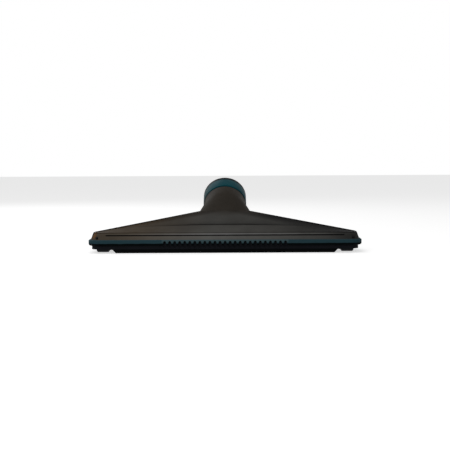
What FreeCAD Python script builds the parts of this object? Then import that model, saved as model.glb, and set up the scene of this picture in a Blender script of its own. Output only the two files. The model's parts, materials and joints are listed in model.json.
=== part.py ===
"""Wet pick-up floor tool for a commercial vacuum cleaner, 360 mm wide, with a 50 mm wand socket.

The front is -Y, the neck leaves at +Y, and Z is up. The tool stands on its blades and rollers at Z = 0.
The script works in a frame whose Y is 0 at the bumper's front face. At the end everything moves so that the
origin is the bottom centre of the whole tool.

The build runs from the shells, through the neck and its swivel cuff, to the blade insert and the rollers.
"""
import FreeCAD, Part
import math
import os
from FreeCAD import Vector

# ---- Driving dimensions, in mm ------------------------------------------------------------------------
# Body
BODY_HALF_WIDTH = 177.5      # housing and cover at the parting line
BUMPER_PROUD = 3.0           # the bumper's face stands this far in front of the housing's
BASE_DEPTH = 77.0            # front face to rear face
BODY_CORNER = 14.0           # corner radius in plan
SKIRT_BOTTOM = 5.5           # the skirt's lower edge above the floor
SKIRT_INSET = 1.5            # the skirt stands this far behind the face above it
SKIRT_TOP = 10.2
PARTING = 18.0               # level at which cover and housing meet
CREASE_HEIGHT = 27.0         # top of the cover's front band
BAND_LEAN = 5.5              # the front band leans back this far up to the crease
END_LEAN = 3.0               # and the ends lean in this far
END_WALL = 2.0               # the housing walls in the ends of the cover
END_WALL_START = 12.0        # from here back
END_ROUND = 3.0
SHELF_DROP = 7.0             # the rear shelf falls this far from front to back
SHELF_START = 12.0
# Deck: a fan-shaped roof that rises from the crease to a ridge
RIDGE_HALF_WIDTH = 32.5
RIDGE_REACH = 14.0           # the ridge's middle ahead of the rear face
RIDGE_HEIGHT = 52.2
RIDGE_END_INSET = 5.5        # the ridge ends this far inside the body's ends
RIDGE_END_Y = 22.0
RIDGE_END_HEIGHT = 27.1
RIM_PROUD = 1.0              # the housing's rim stands above the cover's ridge
SEAM_GAP = 0.15
PANEL_START = 29.2           # front edge of the raised panel on the deck
PANEL_HALF_WIDTH = 106.0
PANEL_RISE = 1.0
CREASE_ROUND = 2.0           # rounding where the front band turns into the deck
GROOVE_HEIGHT = 23.8         # shadow groove along the front band
GROOVE_WIDTH = 1.4
GROOVE_DEPTH = 1.1
GROOVE_END_INSET = 20.5
COVER_WALL = 3.0
HOUSING_WALL = 2.5
# Bumper
BUMPER_REAR_GAP = 18.0       # the bumper stops this far ahead of the rear face
BUMPER_TOP_ROUND = 1.4
BUMPER_BOTTOM_ROUND = 2.9
BUMPER_KEY = 2.0             # depth of the key that holds the bumper in the housing
BUMPER_KEY_HEIGHT = 1.8
BUMPER_KEY_LEVEL = 14.0
KEY_CLEARANCE = 0.1
NOTCH_COUNT = 25
NOTCH_PITCH = 6.6
NOTCH_WIDTH = 3.4
NOTCH_TOP = 16.4
FLUTE_WIDTH = 2.2
FLUTE_DEPTH = 0.8
# Neck and swivel cuff
NECK_TILT = 22.0             # above the floor, degrees
MOUTH_REACH = 84.0           # centre of the neck's mouth behind the ridge
MOUTH_RISE = 16.8            # and above it
CUFF_RADIUS = 30.0
CUFF_LENGTH = 30.0           # hood end to mouth
SOCKET_RADIUS = 25.0         # takes a 50 mm wand
SOCKET_DEPTH = 39.2
SEAL_LENGTH = 2.8
SEAL_CLEARANCE = 0.3
WASHER_LENGTH = 2.6
WASHER_RADIUS = 28.4
SPIGOT_WALL = 1.9
SPIGOT_CLEARANCE = 0.1
LAND_LENGTH = 11.6           # the hood's bearing land for the spigot
STOP_LIP = 2.0               # the lip inside the cuff that stops the wand
STOP_LENGTH = 2.5
CLIP_THICKNESS = 1.0
CLIP_GAP = 0.2
CLIP_OUTSTAND = 0.7
CLIP_SEAT = 0.8
CLIP_ROOM = 0.9              # radial room behind the land for the clip
CLIP_OPENING = 10.0
HOOD_RADIUS = 29.3           # slightly slimmer than the cuff
HOOD_STRAIGHT = 18.0         # straight end of the hood
HOOD_WALL = 3.0
HOOD_MID = (26.0, -8.7, 26.0, 36.5, 27.0)    # y and z from the ridge, tilt, half width, half height
HOOD_BASE = (-6.0, -25.2, 30.0, 38.0, 20.0)
HOOD_BLEND = 30.0            # radius of the blend where the hood rises from the deck
THROAT = (-20.0, -31.2, 30.0, 32.0, 15.0)    # where the airway leaves the mouth, inside the walls
SADDLE_GAP = 0.2
# Blade insert
MOUTH_END_INSET = 27.5       # body end to the end of the mouth
MOUTH_EDGE_WALL = 5.6        # housing face to the mouth at the front
MOUTH_REAR_WALL = 4.6
INSERT_CLEARANCE = 0.3
INSERT_BOTTOM = 4.6
INSERT_TOP = 14.5
INSERT_WALL = 3.0
BLADE_THICKNESS = 4.0
BLADE_HEIGHT = 14.0
BLADE_END_WALL = 1.4         # the insert's end is this thick beyond the blades
BLADE_END_PLAY = 0.2
BLADE_NOTCH_PITCH = 12.0
BLADE_NOTCH_WIDTH = 2.4
BLADE_NOTCH_HEIGHT = 1.6
BLADE_CHAMFER = 4.0
CLAMP_THICKNESS = 1.5
CLAMP_HEIGHT = 6.0
CLAMP_BOTTOM = 7.0
CLAMP_END_INSET = 12.3       # the clamps end this far short of the blades
CLAMP_SCREW_COUNT = 5
CLAMP_SCREW_INSET = 12.0
INSERT_END_LENGTH = 11.0     # the insert's solid ends, screwed to the housing
INSERT_END_BOTTOM = 8.0
INSERT_RIB_X = 48.0
INSERT_RIB_WIDTH = 3.0
INSERT_RIB_BOTTOM = 9.0
# Rollers
ROLLER_RADIUS = 7.0
ROLLER_WIDTH = 17.0
ROLLER_INSET = 15.3          # body end to the middle of a roller
ROLLER_FRONT_REACH = 25.0    # body front to the front axle
ROLLER_REAR_REACH = 18.0     # rear axle to body rear
ROLLER_LIFT = 0.4            # the blades stand this far below the rollers
ROLLER_CHAMFER = 1.6
ROLLER_SIDE_PLAY = 0.7
ROLLER_RADIAL_PLAY = 1.2
AXLE_RADIUS = 2.0
AXLE_CLEARANCE = 0.05
AXLE_SEAT = 2.4
# Fasteners
SCREW_RADIUS = 1.5
SCREW_CLEARANCE = 0.1
SCREW_HEAD_RADIUS = 2.9
SCREW_HEAD_HEIGHT = 1.8
DRIVE_DEPTH = 1.0
DRIVE_WIDTH = 0.8
BOSS_RADIUS = 3.6
SMALL_HEAD_RADIUS = 1.9
REAR_SCREW_X = (62.0, 112.0)
REAR_SCREW_BITE = 5.0        # how far these screws reach into the cover
INSERT_SCREW_FRONT_INSET = 30.1      # insert front to its first screws
INSERT_SCREW_REAR_INSET = 12.1       # and from its rear to the last
INSERT_SCREW_LENGTH = 11.0
END_SCREW_INSET = 9.0        # body end to the screw
END_SCREW_HEIGHT = 20.6
END_SCREW_LENGTH = 20.0
END_SCREW_SUNK = 2.4
GASKET_WIDTH = 1.6
GASKET_HEIGHT = 1.4
GASKET_INSET = 1.6

# ---- Worked-out values ---------------------------------------------------------------------------------
BODY_FRONT = BUMPER_PROUD
BUMPER_HALF_WIDTH = BODY_HALF_WIDTH + BUMPER_PROUD
BODY_REAR = BODY_FRONT + BASE_DEPTH
RIDGE_Y = BODY_REAR - RIDGE_REACH
MOUTH_Y = RIDGE_Y + MOUTH_REACH
MOUTH_HEIGHT = RIDGE_HEIGHT + MOUTH_RISE
CREASE_Y = BODY_FRONT + BAND_LEAN
TOP_HALF_WIDTH = BODY_HALF_WIDTH - END_LEAN
TOP_CORNER = BODY_CORNER - END_LEAN / 2
SKIRT_HALF_WIDTH = BODY_HALF_WIDTH - SKIRT_INSET
SKIRT_FRONT = BODY_FRONT + SKIRT_INSET
BUMPER_REAR = BODY_REAR - BUMPER_REAR_GAP
RIDGE_END_X = BODY_HALF_WIDTH - RIDGE_END_INSET
GROOVE_HALF_LENGTH = BODY_HALF_WIDTH - GROOVE_END_INSET
END_SCREW_X = BODY_HALF_WIDTH - END_SCREW_INSET
ROLLER_X = BODY_HALF_WIDTH - ROLLER_INSET
ROLLER_FRONT_Y = BODY_FRONT + ROLLER_FRONT_REACH
ROLLER_REAR_Y = BODY_REAR - ROLLER_REAR_REACH
MOUTH_HALF_LENGTH = BODY_HALF_WIDTH - MOUTH_END_INSET
MOUTH_FRONT = BODY_FRONT + MOUTH_EDGE_WALL
MOUTH_REAR = BODY_REAR - MOUTH_REAR_WALL
INSERT_FRONT = MOUTH_FRONT + INSERT_CLEARANCE
INSERT_REAR = MOUTH_REAR - INSERT_CLEARANCE
INSERT_HALF_LENGTH = MOUTH_HALF_LENGTH - INSERT_CLEARANCE
INSERT_SCREW_Y = (INSERT_FRONT + INSERT_SCREW_FRONT_INSET, INSERT_REAR - INSERT_SCREW_REAR_INSET)
BLADE_HALF_LENGTH = INSERT_HALF_LENGTH - BLADE_END_WALL
CLAMP_HALF_LENGTH = BLADE_HALF_LENGTH - CLAMP_END_INSET
CLAMP_SCREW_REACH = CLAMP_HALF_LENGTH - CLAMP_SCREW_INSET
CLAMP_MIDDLE = CLAMP_BOTTOM + CLAMP_HEIGHT / 2
NECK = Vector(0, math.cos(math.radians(NECK_TILT)), math.sin(math.radians(NECK_TILT)))
DEPTH = MOUTH_Y + CUFF_RADIUS * NECK.z
SHIFT = Vector(0, -DEPTH / 2, 0)
SPIGOT_RADIUS = SOCKET_RADIUS + SPIGOT_WALL
LAND_RADIUS = SPIGOT_RADIUS + SPIGOT_CLEARANCE
SOCKET_END = CUFF_LENGTH - SEAL_LENGTH - SOCKET_DEPTH   # along the neck, from the hood's end
SPIGOT_END = SOCKET_END - STOP_LENGTH
FAR = 300.0                                             # longer than the tool, for cutting shapes
SIDES = (("left", -1), ("right", 1))


# ---- Helpers -------------------------------------------------------------------------------------------
def plan_outline(half_width, front, rear, corner, z):
    """A rounded rectangle at height z, as a closed wire."""
    x, r = half_width, corner
    k = r * (1 - math.sqrt(0.5))
    corners = [((-x, rear - r), (-x + k, rear - k), (-x + r, rear)),
               ((x - r, rear), (x - k, rear - k), (x, rear - r)),
               ((x, front + r), (x - k, front + k), (x - r, front)),
               ((-x + r, front), (-x + k, front + k), (-x, front + r))]
    edges = []
    for i, (start, middle, end) in enumerate(corners):
        a, b, c = (Vector(*p, z) for p in (start, middle, end))
        edges.append(Part.Arc(a, b, c).toShape())
        edges.append(Part.makeLine(c, Vector(*corners[(i + 1) % 4][0], z)))
    return Part.Wire(edges)


def slab(half_width, front, rear, corner, z0, z1):
    """A rounded rectangular slab from z0 to z1."""
    return Part.Face(plan_outline(half_width, front, rear, corner, z0)).extrude(Vector(0, 0, z1 - z0))


def box(x0, x1, y0, y1, z0, z1):
    return Part.makeBox(x1 - x0, y1 - y0, z1 - z0, Vector(x0, y0, z0))


def prism_across(points, half_length):
    """A prism along X from a closed outline of (y, z) points."""
    wire = Part.makePolygon([Vector(-half_length, y, z) for y, z in points + points[:1]])
    return Part.Face(wire).extrude(Vector(2 * half_length, 0, 0))


def prism_up(points, z0, z1):
    """A prism along Z from a closed outline of (x, y) points."""
    wire = Part.makePolygon([Vector(x, y, z0) for x, y in points + points[:1]])
    return Part.Face(wire).extrude(Vector(0, 0, z1 - z0))


def loft_across(sections):
    """A solid with straight rules between (x, [(y, z), ...]) sections."""
    wires = [Part.makePolygon([Vector(x, y, z) for y, z in pts + pts[:1]]) for x, pts in sections]
    return Part.makeLoft(wires, True, True)


def neck_point(s):
    """The point on the neck's axis at s from the hood's end, positive towards the mouth."""
    return Vector(0, MOUTH_Y, MOUTH_HEIGHT) + NECK * (s - CUFF_LENGTH)


def neck_ring(outer, inner, s0, s1):
    """A ring round the neck's axis between s0 and s1, or a full cylinder when inner is 0."""
    shape = Part.makeCylinder(outer, s1 - s0, neck_point(s0), NECK)
    if inner:
        shape = shape.cut(Part.makeCylinder(inner, s1 - s0 + 2, neck_point(s0 - 1), NECK))
    return shape


def neck_section(centre, tilt, half_width, half_height):
    """An ellipse across the neck, or a circle when both radii are the same, as a closed wire."""
    a = math.radians(tilt)
    across, up = Vector(1, 0, 0), Vector(0, -math.sin(a), math.cos(a))
    if half_width == half_height:
        curve = Part.Circle(centre, across.cross(up), half_width)
        curve.XAxis = across
    else:
        curve = Part.Ellipse(centre + across * half_width, centre + up * half_height, centre)
    return Part.Wire([curve.toShape()])


def pan_screw(head_at, direction, length, head_radius=SCREW_HEAD_RADIUS):
    """A pan-head screw: its head stands on head_at and its shank runs along direction."""
    top = head_at - direction * SCREW_HEAD_HEIGHT
    head = Part.makeCylinder(head_radius, SCREW_HEAD_HEIGHT, top, direction)
    head = head.makeFillet(SCREW_HEAD_HEIGHT * 0.4, [head.Edges[2]])
    shank = Part.makeCylinder(SCREW_RADIUS, length, head_at, direction)
    side = direction.cross(Vector(0, 0, 1) if abs(direction.z) < 0.9 else Vector(1, 0, 0))
    side.normalize()
    other = direction.cross(side)
    screw = head.fuse(shank).removeSplitter()
    for along, across in ((side, other), (other, side)):
        reach, half = head_radius * 0.62, DRIVE_WIDTH / 2
        ring = [top + along * (i * reach) + across * (j * half)
                for i, j in ((1, 1), (-1, 1), (-1, -1), (1, -1))]
        slot = Part.Face(Part.makePolygon(ring + ring[:1])).extrude(direction * DRIVE_DEPTH)
        screw = screw.cut(slot)
    return screw


# ---- Shared outlines -----------------------------------------------------------------------------------
def ridge_at(x):
    """(y, z) of the deck's ridge at |x|."""
    t = (abs(x) - RIDGE_HALF_WIDTH) / (RIDGE_END_X - RIDGE_HALF_WIDTH)
    t = max(0.0, t)
    return RIDGE_Y + (RIDGE_END_Y - RIDGE_Y) * t, RIDGE_HEIGHT + (RIDGE_END_HEIGHT - RIDGE_HEIGHT) * t


def deck_height(x, y):
    """Height of the deck's surface over (x, y)."""
    ridge_y, ridge_z = ridge_at(x)
    return CREASE_HEIGHT + (ridge_z - CREASE_HEIGHT) * (y - CREASE_Y) / (ridge_y - CREASE_Y)


def behind_ridge(offset):
    """Everything behind the seam under the ridge, moved back by offset."""
    far_x = BODY_HALF_WIDTH + 10
    far_y = ridge_at(far_x)[0] + offset
    ridge = RIDGE_Y + offset
    return prism_up([(-far_x, far_y), (-RIDGE_HALF_WIDTH, ridge), (RIDGE_HALF_WIDTH, ridge), (far_x, far_y),
                     (far_x, FAR), (-far_x, FAR)], -FAR, FAR)


def end_strips(grow):
    """The two end regions that belong to the housing, larger by grow."""
    x0 = BODY_HALF_WIDTH - END_WALL - grow
    lean = END_LEAN / (CREASE_HEIGHT - PARTING)
    rise = CREASE_HEIGHT - PARTING + 10
    strips = []
    for _, side in SIDES:
        ring = [Vector(side * x, END_WALL_START - grow, z) for x, z in
                ((x0, PARTING), (FAR, PARTING), (FAR, PARTING + rise), (x0 - lean * rise, PARTING + rise))]
        strips.append(Part.Face(Part.makePolygon(ring + ring[:1])).extrude(Vector(0, FAR, 0)))
    return strips[0].fuse(strips[1])


def under_shelf(drop):
    """Everything under the rear shelf's surface, lowered by drop."""
    slope = SHELF_DROP / (BODY_REAR - SHELF_START)
    y0, y1 = -FAR, FAR
    z = [CREASE_HEIGHT - drop - slope * (y - SHELF_START) for y in (y0, y1)]
    return prism_across([(y0, -FAR), (y1, -FAR), (y1, z[1]), (y0, z[0])], FAR)


def fan(inset, drop, low):
    """The fan-shaped block under the deck, drawn in by inset at its edges and lowered by drop."""
    sections = []
    front = CREASE_Y + inset
    for x in (-RIDGE_END_X, -RIDGE_HALF_WIDTH, RIDGE_HALF_WIDTH, RIDGE_END_X):
        ridge_y, ridge_z = ridge_at(x)
        sections.append((math.copysign(abs(x) - inset, x),
                         [(front, low), (front, CREASE_HEIGHT - drop),
                          (ridge_y - inset, ridge_z - drop), (ridge_y - inset, low)]))
    plan = slab(TOP_HALF_WIDTH - inset, front, BODY_REAR, TOP_CORNER - inset, low, RIDGE_HEIGHT)
    return loft_across(sections).common(plan)


def ridge_section(section, grow):
    """One of the hood's or throat's named sections, with its radii larger by grow."""
    back, up, tilt, half_width, half_height = section
    centre = Vector(0, RIDGE_Y + back, RIDGE_HEIGHT + up)
    return neck_section(centre, tilt, half_width + grow, half_height + grow)


def hood(grow):
    """The neck's hood, from inside the body to its straight end, with its radii larger by grow."""
    end = neck_section(neck_point(-HOOD_STRAIGHT), NECK_TILT, HOOD_RADIUS + grow, HOOD_RADIUS + grow)
    return Part.makeLoft([ridge_section(HOOD_BASE, grow), ridge_section(HOOD_MID, grow), end], True, False)


def throat():
    """The airway from the mouth up into the hood."""
    return Part.makeLoft([ridge_section(THROAT, 0), ridge_section(HOOD_BASE, -HOOD_WALL)], True, True)


# ---- Shells --------------------------------------------------------------------------------------------
def upper_block(extra):
    """The body from the parting line to extra above the crease, with its faces leaning in."""
    share = 1 + extra / (CREASE_HEIGHT - PARTING)
    foot = plan_outline(BODY_HALF_WIDTH, BODY_FRONT, BODY_REAR, BODY_CORNER, PARTING)
    top = plan_outline(BODY_HALF_WIDTH - END_LEAN * share, BODY_FRONT + BAND_LEAN * share, BODY_REAR,
                       BODY_CORNER - END_LEAN / 2 * share, CREASE_HEIGHT + extra)
    return Part.makeLoft([foot, top], True, True)


def raised_panel():
    """The thin raised panel over the airway, that fades out towards its ends."""
    sections = []
    for x, rise in ((-PANEL_HALF_WIDTH, 0.05), (-RIDGE_HALF_WIDTH, PANEL_RISE),
                    (RIDGE_HALF_WIDTH, PANEL_RISE), (PANEL_HALF_WIDTH, 0.05)):
        ridge_y, ridge_z = ridge_at(x)
        z = deck_height(x, PANEL_START)
        sections.append((x, [(PANEL_START, z - 1), (PANEL_START, z + rise), (ridge_y, ridge_z + rise),
                             (ridge_y, ridge_z - 1)]))
    return loft_across(sections)


def rear_screw_place(x):
    """(head seat, direction) of a screw through the housing's rim into the cover, at x."""
    ridge_y, ridge_z = ridge_at(x)
    run = Vector(RIDGE_END_X - RIDGE_HALF_WIDTH, RIDGE_END_Y - RIDGE_Y, 0)
    run.normalize()
    inward = Vector(run.y, -run.x, 0)
    seat = Vector(abs(x), ridge_y, (ridge_z + CREASE_HEIGHT) / 2) - inward * (SEAM_GAP + HOUSING_WALL)
    if x < 0:
        seat.x, inward.x = -seat.x, -inward.x
    return seat, inward


def rear_screw_places():
    return [rear_screw_place(side * x) for x in REAR_SCREW_X for _, side in SIDES]


def end_screw_places():
    """Seats of the two screws through the cover's front band into the housing's ends."""
    share = (END_SCREW_HEIGHT - PARTING) / (CREASE_HEIGHT - PARTING)
    return [Vector(side * END_SCREW_X, BODY_FRONT + BAND_LEAN * share + SCREW_HEAD_HEIGHT + END_SCREW_SUNK,
                   END_SCREW_HEIGHT) for _, side in SIDES]


def crease_edges(shape):
    """The edges where the front band turns into the deck."""
    return [e for e in shape.Edges
            if all(abs(v.Z - CREASE_HEIGHT) < 0.02 and abs(v.Y - CREASE_Y) < 0.02 for v in e.Vertexes)]


def hood_front_edges(shape):
    """The edges where the hood rises out of the deck, in front of the ridge."""
    found = []
    for edge in shape.Edges:
        b = edge.BoundBox
        inside = b.XMax < RIDGE_HALF_WIDTH and b.XMin > -RIDGE_HALF_WIDTH and b.YMax < RIDGE_Y + 0.1
        if inside and b.YMin < RIDGE_Y - 2 and b.ZMin > (CREASE_HEIGHT + RIDGE_HEIGHT) / 2:
            found.append(edge)
    return found


def cover_outside():
    """The cover's outer form, solid: front band, deck, raised panel and hood, with their blends."""
    block = upper_block(0).cut(behind_ridge(0)).cut(end_strips(SEAM_GAP))
    deck = block.fuse(fan(0, 0, PARTING + 2).cut(end_strips(SEAM_GAP))).fuse(raised_panel()).removeSplitter()
    deck = deck.makeFillet(CREASE_ROUND, crease_edges(deck))
    outer = deck.fuse(hood(0)).fuse(neck_ring(HOOD_RADIUS, 0, -HOOD_STRAIGHT, 0)).removeSplitter()
    outer = outer.makeFillet(HOOD_BLEND, hood_front_edges(outer))
    return outer.cut(box(-FAR, FAR, -FAR, BODY_REAR, -FAR, PARTING))


def make_top_cover():
    """The upper moulding: front band, fan-shaped deck and the hood of the neck, all one shell."""
    outer = cover_outside()
    band_back = RIDGE_END_Y - COVER_WALL
    band = [(BODY_FRONT + COVER_WALL, PARTING - 5), (BODY_FRONT + COVER_WALL, PARTING),
            (CREASE_Y + COVER_WALL, CREASE_HEIGHT - COVER_WALL), (band_back, CREASE_HEIGHT - COVER_WALL),
            (band_back, PARTING - 5)]
    hollow = fan(COVER_WALL, COVER_WALL * 1.1, -10).fuse(prism_across(band, MOUTH_HALF_LENGTH))
    hollow = hollow.fuse(hood(-HOOD_WALL)).fuse(throat())
    hollow = hollow.fuse(neck_ring(LAND_RADIUS + CLIP_ROOM, 0, -HOOD_STRAIGHT - 1, -LAND_LENGTH))
    hollow = hollow.fuse(neck_ring(LAND_RADIUS, 0, -HOOD_STRAIGHT - 1, 1))
    cover = outer.cut(hollow)
    face = BODY_FRONT + BAND_LEAN * (GROOVE_HEIGHT - PARTING) / (CREASE_HEIGHT - PARTING)
    cover = cover.cut(box(-GROOVE_HALF_LENGTH, GROOVE_HALF_LENGTH, -1, face + GROOVE_DEPTH,
                          GROOVE_HEIGHT - GROOVE_WIDTH / 2, GROOVE_HEIGHT + GROOVE_WIDTH / 2))
    for seat, inward in rear_screw_places():
        start = seat + inward * (SEAM_GAP + HOUSING_WALL)
        boss = Part.makeCylinder(BOSS_RADIUS, COVER_WALL + 5, start, inward)
        cover = cover.fuse(boss.common(outer))
        cover = cover.cut(Part.makeCylinder(SCREW_RADIUS, 8, seat, inward))
    ahead = Vector(0, 1, 0)
    for seat in end_screw_places():
        boss = Part.makeCylinder(BOSS_RADIUS, RIDGE_END_Y, Vector(seat.x, BODY_FRONT, seat.z), ahead)
        cover = cover.fuse(boss.common(outer))
        cover = cover.cut(Part.makeCylinder(SMALL_HEAD_RADIUS + 0.15, 10, seat, ahead * -1))
        cover = cover.cut(Part.makeCylinder(SCREW_RADIUS, END_SCREW_LENGTH, seat, ahead))
    return cover.removeSplitter()


def roller_places():
    """(name, centre) of each roller."""
    return [(f"{row}_{name}", Vector(side * ROLLER_X, y, ROLLER_RADIUS + ROLLER_LIFT))
            for row, y in (("front", ROLLER_FRONT_Y), ("rear", ROLLER_REAR_Y)) for name, side in SIDES]


def insert_screw_places():
    x = MOUTH_HALF_LENGTH - INSERT_CLEARANCE - INSERT_END_LENGTH / 2
    return [Vector(side * x, y, INSERT_END_BOTTOM) for y in INSERT_SCREW_Y for _, side in SIDES]


def gasket_path(grow):
    """The cord gasket's U-shaped slab, larger by grow on every face."""
    near = GASKET_INSET - grow
    far = GASKET_INSET + GASKET_WIDTH + grow
    outer = slab(BODY_HALF_WIDTH - near, BODY_FRONT + near, FAR, BODY_CORNER - near,
                 PARTING - GASKET_HEIGHT - grow, PARTING)
    inner = slab(BODY_HALF_WIDTH - far, BODY_FRONT + far, 2 * FAR, BODY_CORNER - far,
                 PARTING - GASKET_HEIGHT - 1, PARTING + 1)
    front = box(-FAR, FAR, -FAR, END_WALL_START + grow, 0, FAR)
    return outer.cut(inner).common(front)


def rim(side):
    """The wall behind one slanted side of the deck, with its top edge standing proud."""
    sections = []
    for x in (side * RIDGE_HALF_WIDTH, side * RIDGE_END_X):
        y, z = ridge_at(x)
        near, back, top = y + SEAM_GAP, y + SEAM_GAP + HOUSING_WALL, z + RIM_PROUD
        sections.append((x, [(near, PARTING), (near, top), (back, top), (back, PARTING)]))
    return loft_across(sections)


def end_walls():
    """The rounded walls that close in the ends of the cover."""
    block = upper_block(RIM_PROUD)
    top = [e for e in block.Edges if all(v.Z > CREASE_HEIGHT + RIM_PROUD - 0.01 for v in e.Vertexes)]
    block = block.makeFillet(END_ROUND, top)
    depth = box(-FAR, FAR, 0, RIDGE_END_Y + SEAM_GAP + HOUSING_WALL, 0, FAR)
    return block.common(end_strips(0)).common(depth)


def make_lower_housing():
    """The lower moulding: skirt, roller pockets, rear shelf and the rim behind the deck."""
    body = slab(SKIRT_HALF_WIDTH, SKIRT_FRONT, BODY_REAR - SKIRT_INSET, BODY_CORNER - SKIRT_INSET,
                SKIRT_BOTTOM, SKIRT_TOP)
    body = body.fuse(slab(BODY_HALF_WIDTH, BODY_FRONT, BODY_REAR, BODY_CORNER, SKIRT_TOP, PARTING))
    body = body.fuse(upper_block(0).common(behind_ridge(SEAM_GAP)).common(under_shelf(0)))
    for _, side in SIDES:
        body = body.fuse(rim(side))
    body = body.fuse(end_walls())
    # the mouth and the room above it
    ceiling = under_shelf(HOUSING_WALL)
    inside = MOUTH_HALF_LENGTH - INSERT_END_LENGTH - INSERT_CLEARANCE - 1
    body = body.cut(box(-MOUTH_HALF_LENGTH, MOUTH_HALF_LENGTH, MOUTH_FRONT, MOUTH_REAR, 0, INSERT_TOP))
    body = body.cut(box(-inside, inside, MOUTH_FRONT, MOUTH_REAR, 0, FAR).common(ceiling))
    # room for the neck: its hood and the way through it
    body = body.cut(hood(SADDLE_GAP)).cut(throat())
    for name, centre in roller_places():
        half = ROLLER_WIDTH / 2 + ROLLER_SIDE_PLAY
        reach = ROLLER_RADIUS + ROLLER_RADIAL_PLAY
        top = centre.z + ROLLER_RADIUS + ROLLER_RADIAL_PLAY / 2
        body = body.cut(box(centre.x - half, centre.x + half, centre.y - reach, centre.y + reach, 0, top))
        side = math.copysign(1, centre.x)
        start = Vector(centre.x - side * (half + AXLE_SEAT), centre.y, centre.z)
        body = body.cut(Part.makeCylinder(AXLE_RADIUS, FAR, start, Vector(side, 0, 0)))
    key = slab(BODY_HALF_WIDTH + 1, BODY_FRONT - 1, FAR, BODY_CORNER + 1,
               BUMPER_KEY_LEVEL - KEY_CLEARANCE, BUMPER_KEY_LEVEL + BUMPER_KEY_HEIGHT + KEY_CLEARANCE)
    depth = BUMPER_KEY + KEY_CLEARANCE
    core = slab(BODY_HALF_WIDTH - depth, BODY_FRONT + depth, 2 * FAR, BODY_CORNER - depth,
                BUMPER_KEY_LEVEL - 1, BUMPER_KEY_LEVEL + BUMPER_KEY_HEIGHT + 1)
    body = body.cut(key.cut(core).common(box(-FAR, FAR, -FAR, BUMPER_REAR, 0, FAR)))
    body = body.cut(gasket_path(0.05))
    for i in range(NOTCH_COUNT):
        x = (i - (NOTCH_COUNT - 1) / 2) * NOTCH_PITCH
        body = body.cut(box(x - FLUTE_WIDTH / 2, x + FLUTE_WIDTH / 2, SKIRT_FRONT - 1,
                            SKIRT_FRONT + FLUTE_DEPTH, SKIRT_BOTTOM + 1, SKIRT_TOP))
    for seat in insert_screw_places():
        body = body.cut(Part.makeCylinder(SCREW_RADIUS, INSERT_SCREW_LENGTH, seat, Vector(0, 0, 1)))
    for seat in end_screw_places():
        body = body.cut(Part.makeCylinder(SCREW_RADIUS, END_SCREW_LENGTH, seat, Vector(0, 1, 0)))
    for seat, inward in rear_screw_places():
        body = body.cut(Part.makeCylinder(SCREW_RADIUS + 0.1, 12, seat - inward, inward))
        body = body.cut(Part.makeCylinder(SCREW_HEAD_RADIUS + 0.4, 6, seat, inward * -1))
    return body.removeSplitter()


def make_bumper():
    """The soft strip that wraps the front and ends, keyed into the housing, with its middle part notched."""
    outer = slab(BUMPER_HALF_WIDTH, 0, FAR, BODY_CORNER + BUMPER_PROUD, SKIRT_TOP, PARTING)
    top = [e for e in outer.Edges if all(abs(v.Z - PARTING) < 1e-6 for v in e.Vertexes)]
    outer = outer.makeFillet(BUMPER_TOP_ROUND, top)
    low = [e for e in outer.Edges if all(abs(v.Z - SKIRT_TOP) < 1e-6 for v in e.Vertexes)]
    outer = outer.makeFillet(BUMPER_BOTTOM_ROUND, low)
    inner = slab(BODY_HALF_WIDTH, BODY_FRONT, 2 * FAR, BODY_CORNER, SKIRT_TOP - 1, PARTING + 1)
    strip = outer.cut(inner)
    key = slab(BODY_HALF_WIDTH + 0.5, BODY_FRONT - 0.5, FAR, BODY_CORNER + 0.5,
               BUMPER_KEY_LEVEL, BUMPER_KEY_LEVEL + BUMPER_KEY_HEIGHT)
    core = slab(BODY_HALF_WIDTH - BUMPER_KEY, BODY_FRONT + BUMPER_KEY, 2 * FAR,
                BODY_CORNER - BUMPER_KEY, BUMPER_KEY_LEVEL - 1, BUMPER_KEY_LEVEL + BUMPER_KEY_HEIGHT + 1)
    strip = strip.fuse(key.cut(core)).common(box(-FAR, FAR, -FAR, BUMPER_REAR, 0, FAR))
    for i in range(NOTCH_COUNT):
        x = (i - (NOTCH_COUNT - 1) / 2) * NOTCH_PITCH
        half = NOTCH_WIDTH / 2
        depth = BODY_FRONT + BUMPER_KEY
        notch = box(x - half, x + half, -1, depth, 0, NOTCH_TOP - half)
        arch = Part.makeCylinder(half, depth + 1, Vector(x, -1, NOTCH_TOP - half), Vector(0, 1, 0))
        strip = strip.cut(notch.fuse(arch))
    return strip.removeSplitter()


# ---- Neck ----------------------------------------------------------------------------------------------
def make_swivel_cuff():
    """The turning cuff: a wand socket outside the hood, and a spigot inside it."""
    cuff = neck_ring(CUFF_RADIUS, 0, WASHER_LENGTH, CUFF_LENGTH - SEAL_LENGTH)
    cuff = cuff.fuse(neck_ring(SPIGOT_RADIUS, 0, SPIGOT_END, WASHER_LENGTH + 1))
    cuff = cuff.cut(neck_ring(SOCKET_RADIUS, 0, SOCKET_END, CUFF_LENGTH))
    cuff = cuff.cut(neck_ring(SOCKET_RADIUS - STOP_LIP, 0, SPIGOT_END - 1, CUFF_LENGTH))
    groove = neck_ring(SPIGOT_RADIUS + 2, SPIGOT_RADIUS - CLIP_SEAT, clip_start() - 0.1,
                       clip_start() + CLIP_THICKNESS + 0.1)
    return cuff.cut(groove).removeSplitter()


def clip_start():
    """Where the retaining clip starts along the neck, just behind the hood's land."""
    return -LAND_LENGTH - CLIP_GAP - CLIP_THICKNESS


def make_cuff_clip():
    """An open spring ring in the spigot's groove, which keeps the cuff in the hood."""
    ring = neck_ring(SPIGOT_RADIUS + CLIP_OUTSTAND, SPIGOT_RADIUS - CLIP_SEAT + 0.05, clip_start(),
                     clip_start() + CLIP_THICKNESS)
    gap = box(-CLIP_OPENING / 2, CLIP_OPENING / 2, 0, FAR, -FAR, neck_point(clip_start()).z)
    return ring.cut(gap)


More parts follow.
